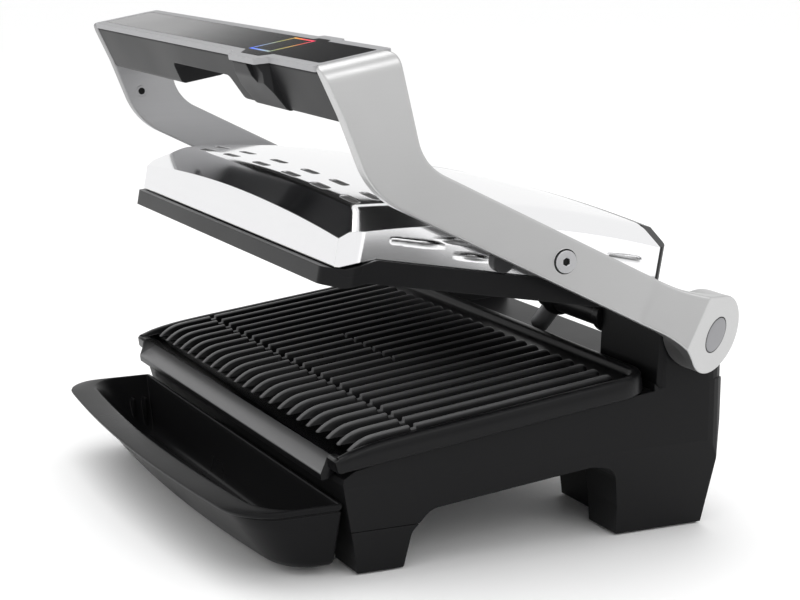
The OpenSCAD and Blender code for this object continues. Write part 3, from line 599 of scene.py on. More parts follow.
@dataclass
class DripTray:
    """The bowed tray in front of the base.

    Lengths are millimetres, places along Y are behind the plate's drain lip.

    Attributes:
        half: half width of the rim.
        nose: middle of the bowed front.
        back: rear wall.
        low: height of the underside.
        top: height of the rim.
        draw: how much narrower the foot is, on each side.
        slope: how far the front leans back on its way down.
        wall: thickness.
        flange: width of the flange along the front.
        bow: radius of the bowed front.
        corner: radius of the front corners.
    """

    half: float = 153.0
    nose: float = -55.5
    back: float = 9.0
    low: float = 5.0
    top: float = 41.0
    draw: float = 13.0
    slope: float = 28.0
    wall: float = 2.5
    flange: float = 16.0
    bow: float = 1300.0
    corner: float = 25.0

    def ring(self, z: float, inset: float, front: float) -> np.ndarray:
        """Outline of the tray at one height: a rounded rectangle whose front is bowed.

        A point moves back by x squared over twice the bow's radius, fully at the nose
        and not at all at the rear.

        Args:
            z: height.
            inset: distance inside the outer wall.
            front: further step back of the front alone.

        Returns:
            (n, 3) points in millimetres.
        """
        k = (self.top - z) / (self.top - self.low)
        x = self.half - self.draw * k - inset
        y0 = self.nose + self.slope * k + inset + front
        y1 = self.back - inset
        r0, r1 = max(self.corner - inset - 3 * k, 6.0), max(3.0 - inset, 1.0)
        pts = rounded([(-x, y0, r0), (x, y0, r0), (x, y1, r1), (-x, y1, r1)], 12)
        pts = np.concatenate([pts[:13], np.linspace(pts[12], pts[13], 42)[1:-1], pts[13:]])
        share = np.clip((y1 - pts[:, 1]) / (y1 - y0), 0, 1)
        pts[:, 1] += pts[:, 0] ** 2 / (2 * self.bow) * share
        return np.column_stack([pts, np.full(len(pts), z)])

    def build(self) -> bpy.types.Object:
        """Makes the tray: one profile carried round, from the floor's middle out, up and back in.

        Each profile entry is (height, distance inside the wall, further step back of the front).

        Returns:
            The finished tray.
        """
        h, w, f = self.top, self.wall, self.flange
        profile = [
            (self.low, 12, 0), (self.low, 3.5, 3), (self.low + 0.5, 1.6, 3), (self.low + 1.8, 0.5, 3),
            (self.low + 4, 0, 3), (h - 12, 0, 3), (h - 5.4, 0, 3), (h - 4.6, 0.3, 3), (h - 4.2, 1.1, 3),
            (h - 3.7, 1.1, 3), (h - 3.3, 0.6, 1), (h - 3.1, 0.05, 0.3), (h - 2.6, 0.0, 0), (h - 1.4, 0.0, 0),
            (h - 0.6, 0.25, 0), (h - 0.15, 0.8, 0), (h, 1.5, 0), (h, w - 0.5, f - w - 1),
            (h - 0.15, w - 0.2, f - w - 0.4), (h - 0.7, w, f - w), (h - 4, w, f - w), (self.low + 9, w, f - w),
            (self.low + w + 2, w + 0.6, f - w), (self.low + w + 0.5, w + 2.4, f - w), (self.low + w, w + 5, f - w),
        ]
        shell = Shell()
        shell.loft(LIP.world(np.stack([self.ring(*p) for p in profile])))
        for y in (-6.0, 1.5):
            rib = rounded([(-self.half + 8, y - 1, 0.6), (-self.half + 14, y - 1, 0.6),
                           (-self.half + 14, y + 1, 0.6), (-self.half + 8, y + 1, 0.6)], 3)
            shell.slab(rib, 2, self.low + 1, h - 12, LIP, (0.2, 0.8))
        runner = rounded([(51.6, 8, 1), (71.6, 8, 1), (71.6, 74, 3), (51.6, 74, 3)], 4)
        shell.slab(runner, 2, 17, 20, LIP, (0.5, 0.5), 2)
        shell.slab(runner * np.array([-1.0, 1.0]), 2, 17, 20, LIP, (0.5, 0.5), 2)
        obj = shell.build("tray_body", Body.TRAY, TRAY_PLASTIC, "tray_plastic", 50.0)
        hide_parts("drip_tray")
        return obj


# --- lower plate -------------------------------------------------------------------


@dataclass
class LowerPlate:
    """The ribbed cooking plate with its drain lip.

    Lengths are millimetres in the plate's own frame, y behind the lip and z up.

    Attributes:
        half: half width over the rim.
        long: rear edge.
        lip_half: half width of the lip.
        rib_count: number of ribs.
        rib_field: distance between the middles of the outermost ribs.
        rib_top: height of the rib tops.
        floor: height of the pan's floor.
        rib_start: front end of the ribs.
        rib_end: rear end of the ribs.
        notch: where every rib is notched.
        short_notch: where some ribs are notched again.
        short_notched: first and last of those ribs.
    """

    half: float = 158.0
    long: float = 187.0
    lip_half: float = 144.0
    rib_count: int = 23
    rib_field: float = 292.0
    rib_top: float = 14.1
    floor: float = 8.6
    rib_start: float = 10.5
    rib_end: float = 168.0
    notch: float = 51.0
    short_notch: float = 96.0
    short_notched: tuple[int, int] = (8, 13)

    def outline(self) -> np.ndarray:
        """Outer edge of the plate, with close stations where the lip ends.

        Returns:
            (n, 2) points in millimetres.
        """
        lip, h = self.lip_half, self.half
        turn = rounded([(h, 4, 2), (h, self.long, 18), (-h, self.long, 18), (-h, 4, 2)], 10)
        sides = np.linspace(turn[10], turn[11], 24)[1:-1]
        other = sides[::-1] * np.array([-1, 1])
        front = np.concatenate([[-h + 3], [-lip - 1.2, -lip - 0.4], np.linspace(-lip, lip, 25),
                                [lip + 0.4, lip + 1.2], [h - 3]])
        return np.concatenate([turn[:11], sides, turn[11:33], other, turn[33:],
                               np.column_stack([front, np.full(len(front), 4.0)])])

    def body(self, shell: Shell) -> None:
        """Adds the pan: rim and wall on three sides, a falling lip in front.

        Two profiles, each a list of (distance in, height), are mixed by a weight that is 1
        at the rim and 0 along the lip. Rim heights fall toward the front.

        Args:
            shell: where the surface goes.
        """
        out = self.outline()
        normal = inward(out)
        front = (out[:, 1] < 4.05) & (np.abs(out[:, 0]) < self.half - 2.9)
        normal[front] = (0, 1)
        lip = np.clip((self.lip_half + 0.8 - np.abs(out[:, 0])) / 0.8, 0, 1) * front
        rim = np.array([(9, 1.6), (2.2, 1.6), (0.6, 2.0), (0, 3.2), (0, 8), (0.2, 11.4), (0.8, 12.6),
                        (1.9, 13.1), (4.2, 13.1), (5.2, 12.7), (5.8, 11.6), (6.3, 9.4), (7.4, 8.7),
                        (9.5, self.floor)])
        edge = np.array([(9, 1.6), (4.5, -0.4), (0, -3.9), (-4, -3.6), (-4, -2.4), (-4, -0.7), (-3.9, 0.1),
                         (-3.2, 0.55), (0, 1.7), (4, 3.2), (8, 4.7), (11, 6.0), (14.5, 7.9), (18, self.floor)])
        drop = np.interp(out[:, 1], [4, 8, 16, 30, 46], [0.42, 0.62, 0.82, 0.97, 1.0])
        rings = []
        for (g0, z0), (g1, z1) in zip(rim, edge):
            z_rim = np.where(z0 > self.floor, self.floor + (z0 - self.floor) * drop + (drop - 1.0) * 3.0, z0)
            z_rim = np.minimum(z_rim, z0)
            g = g0 * (1 - lip) + g1 * lip
            z = z_rim * (1 - lip) + z1 * lip
            xy = out + normal * g[:, None]
            rings.append(np.column_stack([xy, z]))
        # Painted highlight on the lip's rounded top, set by the profile's stations
        lip_highlight = np.interp(np.arange(len(rim)), [5, 6, 8, 10, 11, 12.5], [0, 0.8, 1, 0.9, 0.6, 0])
        shell.loft(PLATE.world(np.stack(rings)), lip_highlight[:, None] * lip[None])

    def rib(self, x: float, second: bool) -> tuple[np.ndarray, np.ndarray]:
        """One rib: a round-topped profile carried along Y, running down to the lip in front.

        Args:
            x: its middle.
            second: True where the short second notch crosses it.

        Returns:
            (stations, profile points, 3) in millimetres, and the mask of the painted highlight along its top.
        """
        y = np.concatenate([np.linspace(self.rib_start, 30, 15), np.linspace(34, self.notch - 3.2, 4),
                            self.notch + np.array([-2.4, -1.9, -1.4, 1.4, 1.9, 2.4]),
                            np.linspace(self.notch + 6, self.short_notch - 4, 6),
                            self.short_notch + np.array([-1.4, -0.9, -0.4, 0.4, 0.9, 1.4]),
                            np.linspace(100, self.rib_end - 4, 9),
                            self.rib_end - np.array([3.0, 2.0, 1.2, 0.5, 0.1, 0.0])])
        top = np.interp(y, [self.rib_start, 12, 15, 18.5, 22, 25.5, 29, 34, self.rib_end],
                        [3.4, 6.0, 8.7, 11.0, 12.6, 13.55, 13.95, self.rib_top, self.rib_top])
        rear = np.clip((self.rib_end - y) / 3.0, 0, 1)
        top -= 3.4 * (1 - np.sqrt(np.clip(1 - (1 - rear) ** 2, 0, 1)))
        top -= 1.9 * (np.abs(y - self.notch) < 1.7)
        top -= 1.9 * (np.abs(y - self.short_notch) < 0.7) * second
        base = np.interp(y, [self.rib_start, 13, 22, 30], [2.6, 4.2, 8.0, 8.0])
        nose = np.sqrt(np.clip(1 - (1 - np.clip((y - 10.4) / 5.0, 0, 1)) ** 2, 0, 1))
        half = 2.9 * nose * (0.55 + 0.45 * np.sqrt(rear))
        t = np.linspace(0, math.pi, 9)
        across = np.concatenate([[1.12], 0.74 * np.sign(np.cos(t)) * np.abs(np.cos(t)) ** 0.8, [-1.12]])
        up = np.concatenate([[0.0], 0.68 + 0.32 * np.sin(t) ** 0.8, [0.0]])
        px = x + half[:, None] * across[None]
        pz = base[:, None] + (top - base)[:, None] * up[None]
        # Painted highlight along the rib tops, strongest a little behind the noses
        shine = np.interp(y, [self.rib_start, 18, 26, 100, self.rib_end], [0.3, 0.6, 1.0, 0.85, 0.5])
        glint = np.clip((up - 0.84) / 0.14, 0, 1)[None] * shine[:, None]
        return np.stack([px, np.broadcast_to(y[:, None], px.shape), pz], -1), glint

    def build(self) -> bpy.types.Object:
        """Makes the pan and its ribs as one piece.

        Returns:
            The finished plate.
        """
        shell = Shell()
        self.body(shell)
        for i, x in enumerate(np.linspace(-self.rib_field / 2, self.rib_field / 2, self.rib_count)):
            ring, glint = self.rib(float(x), self.short_notched[0] <= i <= self.short_notched[1])
            shell.loft(PLATE.world(ring), glint)
        obj = shell.build("lower_plate_ribbed", Body.BASE, PLATE_COAT, "plate_coat", 60.0)
        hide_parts("lower_plate")
        return obj


# --- lid -----------------------------------------------------------------------------


@dataclass
class LidCover:
    """The polished cover: arched top, front slope, side bands, vents and louvres.

    Lengths are millimetres from the lid's pivot; u runs to the rear and w up.

    Attributes:
        half: half width.
        front: front edge.
        rear: rear edge.
        nick_x: cut at each front corner, across.
        nick_u: the same cut, along.
        rim: height of the wall's lower edge.
        sheet: thickness.
        blend: softness of the creases.
        peak: (u, w) of the highest point.
        arch: radius of the top along u.
        crown: radius of the top across.
        side: the side bands' outer height, radius and lean in degrees.
        brow: the front slope's lower height, radius across and slope in degrees.
        corner: radius of the rear corners.
        corner_past: how far behind the rear edge their arcs would end.
        skirt: (u, amount) by which the wall hangs below the rim.
        vent: each vent's length across and along.
        relief_vent: share of the half width, u, length across and along of the single vent.
        vent_rows: distance behind the front and shares of the half width, for each row.
        louvre_width: width of the louvres.
        louvres: (u, w, length) of each louvre.
    """

    half: float = 152.0
    front: float = -108.0
    rear: float = 73.0
    nick_x: float = 4.5
    nick_u: float = 10.5
    rim: float = -12.2
    sheet: float = 1.5
    blend: float = 0.7
    peak: tuple[float, float] = (17.0, 25.2)
    arch: float = 590.0
    crown: float = 2145.0
    side: tuple[float, float, float] = (12.7, 530.0, 22.0)
    brow: tuple[float, float, float] = (1.2, 2500.0, 43.5)
    corner: float = 8.0
    corner_past: float = 6.0
    skirt: tuple[tuple[float, float], ...] = ((-106.0, -6.5), (-98.0, -3.0), (-88.0, 0.0))
    vent: tuple[float, float] = (19.0, 3.8)
    relief_vent: tuple[float, float, float, float] = (-0.19, 36.0, 3.2, 25.0)
    vent_rows: tuple[tuple[float, tuple[float, ...]], ...] = (
        (18.0, (-0.617, -0.361, -0.055, 0.233, 0.497, 0.753)),
        (30.5, (-0.684, -0.409, -0.089, 0.206, 0.467, 0.731)))
    louvre_width: float = 1.7
    louvres: tuple[tuple[float, float, float], ...] = (
        (-69.5, -2.2, 25.0), (-45.0, 1.1, 13.0), (-35.5, -6.2, 9.0), (52.0, 2.1, 20.0))

    def vents(self) -> list[tuple[float, float, float, float]]:
        """Lists the vents.

        Returns:
            (x, u, length across, length along) of each vent.
        """
        rows = [(q * self.half, self.front + back, *self.vent) for back, shares in self.vent_rows for q in shares]
        return [*rows, (self.relief_vent[0] * self.half, *self.relief_vent[1:])]

    def height(self, x: np.ndarray, u: np.ndarray) -> np.ndarray:
        """Top surface: the smooth minimum of arched top, front slope and side bands.

        The top is an arc along u carried round a wider circle across, the slope a wide
        cylinder that rises to the rear, each band a cone along X. The smooth minimum of
        a list is low - b log(sum(exp((low - value) / b))), with b the blend.

        Args:
            x: places across.
            u: places along.

        Returns:
            Heights above the pivot.
        """
        along = u - self.peak[0]
        reach = self.crown - self.arch + np.sqrt(self.arch**2 - along**2)
        top = self.peak[1] - self.crown + np.sqrt(reach**2 - x**2)
        edge, radius, lean = self.side
        spread = radius + (self.half - np.abs(x)) * math.tan(math.radians(lean))
        band = edge - radius + np.sqrt(spread**2 - along**2)
        start, wide, slope = self.brow
        a = math.radians(slope)
        brow = start + (u - self.front) * math.tan(a) - (wide - np.sqrt(wide**2 - x**2)) / math.cos(a)
        parts = np.stack([top, band, brow])
        low = parts.min(0)
        return low - self.blend * np.log(np.exp(-(parts - low) / self.blend).sum(0))

    @staticmethod
    def slot_distance(a: np.ndarray, b: np.ndarray, length: float, width: float) -> np.ndarray:
        """Signed distance to a flat slot with round ends, negative inside."""
        along = np.maximum(np.abs(a) - (length - width) / 2, 0)
        return np.hypot(along, b) - width / 2

    def sunk(self, x: np.ndarray, u: np.ndarray) -> tuple[np.ndarray, np.ndarray]:
        """Depth of the pressed vents and the mask of the painted shade inside them.

        Args:
            x: places across.
            u: places along.

        Returns:
            (depth, mask), depth negative inside a vent.
        """
        d = np.min([self.slot_distance(*((x - v[0], u - v[1]) if v[2] > v[3] else (u - v[1], x - v[0])),
                                       max(v[2:]), min(v[2:])) for v in self.vents()], axis=0)
        depth = -0.6 * np.clip(0.5 - d / 0.8, 0, 1)
        return depth, np.clip(0.5 - (d - 0.3) / 0.5, 0, 1)

    def half_width(self, u: np.ndarray) -> np.ndarray:
        """Half width of the plan outline: steep cuts at the front corners, round ones at the rear.

        Args:
            u: places along.

        Returns:
            The half width at each place.
        """
        cut = self.half - np.clip(1 - (u - self.front) / self.nick_u, 0, 1) * self.nick_x
        r = self.corner
        back = np.clip(u - (self.rear + self.corner_past - r), 0, r)
        return np.minimum(cut, self.half - (r - np.sqrt(np.maximum(r**2 - back**2, 0))))

    def build(self) -> bpy.types.Object:
        """Makes the cover: the top on a fine grid, walls below its edge, and the sheet's inside.

        Returns:
            The finished cover.
        """
        f = self.front
        u = np.unique(np.concatenate([
            f + np.array([0, 0.3, 0.7]), np.linspace(f + 1.2, f + 12, 12), np.linspace(f + 12, f + 36, 54),
            np.linspace(f + 36, 22, 24), np.linspace(22, 50, 30), np.linspace(50, self.rear, 12)]))
        q = np.unique(np.round(np.concatenate([np.linspace(-1, 1, 301), np.linspace(-0.205, -0.175, 13),
                                               [-0.997, -0.99, 0.99, 0.997]]), 5))
        x = self.half_width(u)[:, None] * q[None]
        uu = np.broadcast_to(u[:, None], x.shape)
        depth, mask = self.sunk(x, uu)
        shell = Shell()
        self.top_sheet(shell, np.stack([x, uu, self.height(x, uu) + depth], -1), mask)
        obj = shell.build("lid_sheet", Body.HEAD, LID_METAL, "lid_metal", 55.0)
        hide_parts("lid_cover")
        return obj

    def top_sheet(self, shell: Shell, top: np.ndarray, mask: np.ndarray) -> None:
        """Adds the closed sheet: the top as a grid, then rings down its wall and up a short way inside.

        The wall's lower edge hangs below the rim by the skirt's amount, read off at each u.

        Args:
            shell: where the surface goes.
            top: (rows, columns, 3) of the top surface.
            mask: (rows, columns) shading values.
        """
        n, m = top.shape[:2]
        edge = np.concatenate([top[0], top[1:, -1], top[-1, -2::-1], top[-2:0:-1, 0]])
        low = self.rim + np.interp(edge[:, 1], *zip(*self.skirt))
        out = inward(edge[:, :2])
        levels = np.linspace(0, 1, 26)
        rings = [np.column_stack([edge[:, :2], edge[:, 2] * (1 - k) + low * k]) for k in levels[1:]]
        masks = [self.press_louvres_with_shade(ring) for ring in rings]
        inner = edge[:, :2] + out * self.sheet
        rings.append(np.column_stack([inner, low]))
        rings.append(np.column_stack([inner, np.minimum(low + 6, edge[:, 2] - 2)]))
        ring = np.stack(rings)
        masks = np.stack(masks + [np.zeros(len(edge))] * 2)
        base = n * m
        k = len(edge)
        idx = np.arange(n * m).reshape(n, m)
        border = np.concatenate([idx[0], idx[1:, -1], idx[-1, -2::-1], idx[-2:0:-1, 0]])
        rows = np.vstack([border, base + np.arange(ring.shape[0] * k).reshape(-1, k)])
        a, b = rows[:-1], rows[1:]
        walls = np.stack([a, b, np.roll(b, -1, 1), np.roll(a, -1, 1)], -1).reshape(-1, 4)
        quads = np.stack([idx[:-1, :-1], idx[:-1, 1:], idx[1:, 1:], idx[1:, :-1]], -1).reshape(-1, 4)
        shell.faces += quads.tolist() + walls.tolist() + [rows[-1][::-1].tolist()]
        shell.points += [LID.world(top).reshape(-1, 3), LID.world(ring).reshape(-1, 3)]
        shell.masks += [mask.reshape(-1), masks.reshape(-1)]
        shell.count = base + ring.shape[0] * k

    def press_louvres_with_shade(self, ring: np.ndarray) -> np.ndarray:
        """Presses the louvres into one ring of the wall, in place.

        Args:
            ring: (n, 3) points of the wall.

        Returns:
            The mask of each point, for the painted shade inside the louvres.
        """
        d = np.min([self.slot_distance(ring[:, 1] - v[0], ring[:, 2] - v[1], v[2], self.louvre_width)
                    for v in self.louvres], axis=0)
        flat = np.abs(ring[:, 0]) > self.half - 0.05
        depth = -0.3 * np.clip(0.5 - d / 0.9, 0, 1) * flat
        ring[:, 0] += np.sign(ring[:, 0]) * depth
        return np.clip(0.5 - (d + 0.3) / 0.5, 0, 1) * flat


# --- arms ----------------------------------------------------------------------------


@dataclass
class Arm:
    """One of the two metal arms: flat bar, bend, rolled shoulder and round hub.

    Lengths are millimetres behind the drain lip; s runs along the bar to the rear from
    the hinge and v up across it.

    Attributes:
        hand: 1 for the right arm, -1 for the left.
        hinge: (y, z) of the main hinge.
        slope: fall of the bar toward the rear, in degrees.
        tall: height of the bar.
        inner: the bar's inner face, from the middle.
        outer: the bar's outer face, from the middle.
        hub: radius of the hub.
        hub_x: the hub's inner and outer end, from the middle.
        flare: s where the outer face starts to stand out, and where it does so most.
        turn: turn of the hub's oblique face, in degrees.
        grip: (y, z) of the shoulder's top, in front.
        tilt: tilt of the shoulder's top, in degrees.
        deep: depth of the shoulder.
        shoulder: radius of its roll toward the grip.
        pivot: (y, z) of the lid's pivot.
        screw: (y, z) of the screw in the inner face.
        swell_down: start ahead of the hinge, length and growth of the lower half height.
        swell_up: the same for the upper half height.
    """

    hand: int = 1
    hinge: tuple[float, float] = (211.0, 112.0)
    slope: float = 26.5
    tall: float = 24.0
    inner: float = 173.5
    outer: float = 181.0
    hub: float = 21.5
    hub_x: tuple[float, float] = (156.0, 186.0)
    flare: tuple[float, float] = (-50.0, -21.0)
    turn: float = 30.0
    grip: tuple[float, float] = (-12.7, 259.5)
    tilt: float = 10.0
    deep: float = 39.0
    shoulder: float = 7.0
    pivot: tuple[float, float] = (116.137, 159.297)
    screw: tuple[float, float] = (15.0, 216.5)
    swell_down: tuple[float, float, float] = (38.0, 28.0, 7.03)
    swell_up: tuple[float, float, float] = (47.8, 39.8, 7.96)

    def point(self, s: np.ndarray, v: np.ndarray) -> np.ndarray:
        """Turns places on the bar into places behind the lip and above the floor.

        Args:
            s: distances along the bar.
            v: distances across it.

        Returns:
            (..., 2) points.
        """
        a = math.radians(self.slope)
        return np.stack([self.hinge[0] + s * math.cos(a) + v * math.sin(a),
                         self.hinge[1] - s * math.sin(a) + v * math.cos(a)], -1)

    def outer_face(self, s: np.ndarray) -> np.ndarray:
        """Outer face along the bar: flat, flaring out to a crease, then cut back to the hub's rear."""
        end = self.hub_x[1] - (self.hub - self.flare[1]) * math.tan(math.radians(self.turn))
        return np.interp(s, [*self.flare, self.hub], [self.outer, self.hub_x[1], end])

    def chain(self, corners: list[tuple[float, float, float]], trim: float, side: int) -> np.ndarray:
        """One edge from the shoulder's top down to the straight bar.

        The first stations lie at set depths under the shoulder's top, drawn in by the
        arc trim - sqrt(trim^2 - (trim - depth)^2); the rest are evenly spaced.

        Args:
            corners: the edge's (y, z, radius), ending on the bar.
            trim: rounding of the shoulder's corner.
            side: 1 for the front edge, -1 for the rear one.

        Returns:
            (99, 2) points.
        """
        a = math.radians(self.tilt)
        way, fall = np.array([math.cos(a), math.sin(a)]), np.array([math.sin(a), -math.cos(a)])
        line = rounded([*corners, (500.0, 250.0 * (1 - side), 0.01)], 20)[20:21 * len(corners)]
        depth = (line - line[0]) @ fall
        want = SHOULDER_DEPTHS
        first = np.column_stack([np.interp(want, depth[:24], line[:24, i]) for i in (0, 1)])
        left = np.clip(trim - want, 0, None)
        first += side * way * (trim - np.sqrt(trim**2 - left**2))[:, None]
        rest = np.vstack([first[-1:], line[depth > 9.2]])
        run = np.concatenate([[0], np.cumsum(np.linalg.norm(np.diff(rest, axis=0), axis=1))])
        even = np.linspace(0, run[-1], 90)[1:]
        return np.vstack([first, np.column_stack([np.interp(even, run, rest[:, i]) for i in (0, 1)])])

    def edges(self) -> tuple[np.ndarray, np.ndarray, np.ndarray]:
        """Lower and upper edge at matched stations, from the shoulder to the hub's rear.

        Toward the hub each half height grows with the square of the distance until it
        meets the circle sqrt(r^2 - s^2) on a common tangent.

        Returns:
            (lower, upper, s), s being each station's place along the bar.
        """
        a, h = math.radians(self.tilt), self.tall / 2
        way = np.array([math.cos(a), math.sin(a)])
        front, back = np.array(self.grip) - way * 1.4, np.array(self.grip) + way * (self.deep - 1)
        bend = self.point(np.array([-216.0, -198.0]), np.array([-h, h]))
        stop = self.point(np.array([-120.0, -120.0]), np.array([-h, h]))
        lower = self.chain([(*front, 0.01), (-3, 236, 30), (*bend[0], 42), (*stop[0], 0.01)], 2.5, 1)
        upper = self.chain([(*back, 0.01), (27.5, 259, 8), (*bend[1], 26), (*stop[1], 0.01)], 4.0, -1)
        s = np.concatenate([np.linspace(-117, -54, 12), np.linspace(-50, -23, 16), [-21.8, -21.2, -20.8, -20.2],
                            np.linspace(-19, 15, 26), self.hub * np.sin(np.linspace(0.8, 1.55, 16))])
        ring = np.sqrt(np.maximum(self.hub**2 - s**2, 0.0))
        down, over = (np.where(s < length - start, h + growth * (np.clip(s + start, 0, None) / length) ** 2, ring)
                      for start, length, growth in (self.swell_down, self.swell_up))
        ahead = np.full(len(lower), -200.0)
        return (np.vstack([lower, self.point(s, -down)]), np.vstack([upper, self.point(s, over)]),
                np.concatenate([ahead, s]))

    def bar(self, shell: Shell) -> None:
        """Adds the bar: a rectangle with rounded corners carried along the two edges.

        Args:
            shell: where the surface goes.
        """
        lower, upper, s = self.edges()
        out = self.outer_face(s)
        depth = SHOULDER_DEPTHS[:9]
        out[:9] -= self.shoulder - np.sqrt(self.shoulder**2 - (self.shoulder - depth) ** 2)
        inn = np.minimum(self.inner, out - 1.6)
        inn[0] = out[0] - 0.4
        width = np.linalg.norm(upper - lower, axis=1)
        e = np.minimum(0.9, np.minimum(width, out - inn) * 0.3)[:, None]
        t = np.linspace(0, math.pi / 2, 4)[None]
        a, b, f = e * (1 - np.cos(t)), e * (1 - np.sin(t)), e * 1.5
        xo, xi, w = out[:, None], inn[:, None], width[:, None]
        x = np.hstack([xo, xo - a, xo - f, xi + f, xi + b, xi, xi, xi + a, xi + f, xo - f, xo - b, xo])
        v = np.hstack([f, b, 0 * f, 0 * f, a, f, w - f, w - b, w, w, w - a, w - f])
        share = (v / w)[..., None]
        yz = lower[:, None] * (1 - share) + upper[:, None] * share
        shell.loft(self.world(np.concatenate([x[..., None], yz], -1)))

    def world(self, pts: np.ndarray) -> np.ndarray:
        """Mirrors points to the arm's hand and places them."""
        return LIP.world(pts * np.array([self.hand, 1.0, 1.0]))

    def turned(self, shell: Shell, frame: Axes, profile: list[tuple[float, float]], mask: float = 0.0) -> None:
        """Adds a turned body: circles of the profile's radii at its heights.

        Args:
            shell: where the surface goes.
            frame: its middle, two directions across and its axis.
            profile: (radius, height) in order.
            mask: shading value of the whole body.
        """
        t = np.linspace(0, 2 * math.pi, 49)[:-1]
        circle = np.cos(t)[:, None] * frame[1] + np.sin(t)[:, None] * frame[2]
        rings = np.stack([frame[0] + r * circle + h * frame[3] for r, h in profile])
        shell.loft(self.world(rings), np.full(rings.shape[:2], mask))

    def drum(self, shell: Shell) -> None:
        """Adds the hub's drum, the boss and dark ring at the lid's pivot, and the screw inside.

        The drum ends just under the hub's oblique face.

        Args:
            shell: where the surfaces go.
        """
        t = np.linspace(0, 2 * math.pi, 73)[:-1]
        rings = []
        for r, x in ((self.hub - 1.2, self.hub_x[0]), (self.hub - 0.4, self.hub_x[0] + 0.3),
                     (self.hub - 0.1, self.hub_x[0] + 1.2), (self.hub - 0.1, None)):
            s, v = r * np.cos(t), r * np.sin(t)
            end = np.minimum(self.inner + 2, self.outer_face(s) - 0.8)
            rings.append(np.column_stack([end if x is None else np.full(72, x), self.point(s, v)]))
        shell.loft(self.world(np.stack(rings)))
        across, back, up = np.eye(3)
        at_pivot = (np.array([0.0, *self.pivot]), back, up, across)
        at_screw = (np.array([0.0, *self.screw]), back, up, across)
        self.turned(shell, at_pivot, [(8.6, 153.4), (9.0, 153.8), (9.0, self.inner + 1)])
        self.turned(shell, at_pivot, [(6.4, self.outer - 0.5), (6.4, self.outer + 0.05)], 1.0)
        for r, x, dark in ((3.4, 0.12, 0.0), (2.1, 0.2, 1.0)):
            self.turned(shell, at_screw, [(r, self.inner - x), (r, self.inner + 0.5)], dark)

    def cap_frame(self) -> Axes:
        """Frame of the hub's oblique face.

        Returns:
            Its middle, two directions in it and its normal.
        """
        a = math.radians(self.turn)
        face = float(self.outer_face(np.array(0.0)))
        origin = self.point(np.zeros(1), np.zeros(1))[0]
        back = self.point(np.ones(1), np.zeros(1))[0] - origin
        over = self.point(np.zeros(1), np.ones(1))[0] - origin
        along = np.array([-math.sin(a), *(math.cos(a) * back)])
        normal = np.array([math.cos(a), *(math.sin(a) * back)])
        return np.array([face, *origin]), along, np.array([0.0, *over]), normal

    def build(self) -> tuple[bpy.types.Object, bpy.types.Object]:
        """Makes the arm and the cap in its hub.

        Returns:
            The arm and the cap.
        """
        side = "right" if self.hand > 0 else "left"
        shell = Shell()
        self.bar(shell)
        self.drum(shell)
        self.turned(shell, self.cap_frame(), [(10.1, -1.0), (10.1, 0.05)], 1.0)
        finish = ARM_METAL if self.hand > 0 else ARM_SHADED
        bar = shell.build(f"arm_bar_{side}", Body.ARMS, finish, "arm_metal", 30.0)
        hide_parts(f"arm_{side}")
        cap = Shell()
        dome = [(9.5, -1.0), (9.5, 0.05), (9.35, 0.22), (9.0, 0.3), (6.0, 0.34), (2.0, 0.36)]
        self.turned(cap, self.cap_frame(), dome)
        disc = cap.build(f"hub_disc_{side}", Body.ARMS, CAP_GREY, "cap_grey", 50.0)
        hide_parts(f"hub_cap_{side}")
        return bar, disc


# --- studio --------------------------------------------------------------------


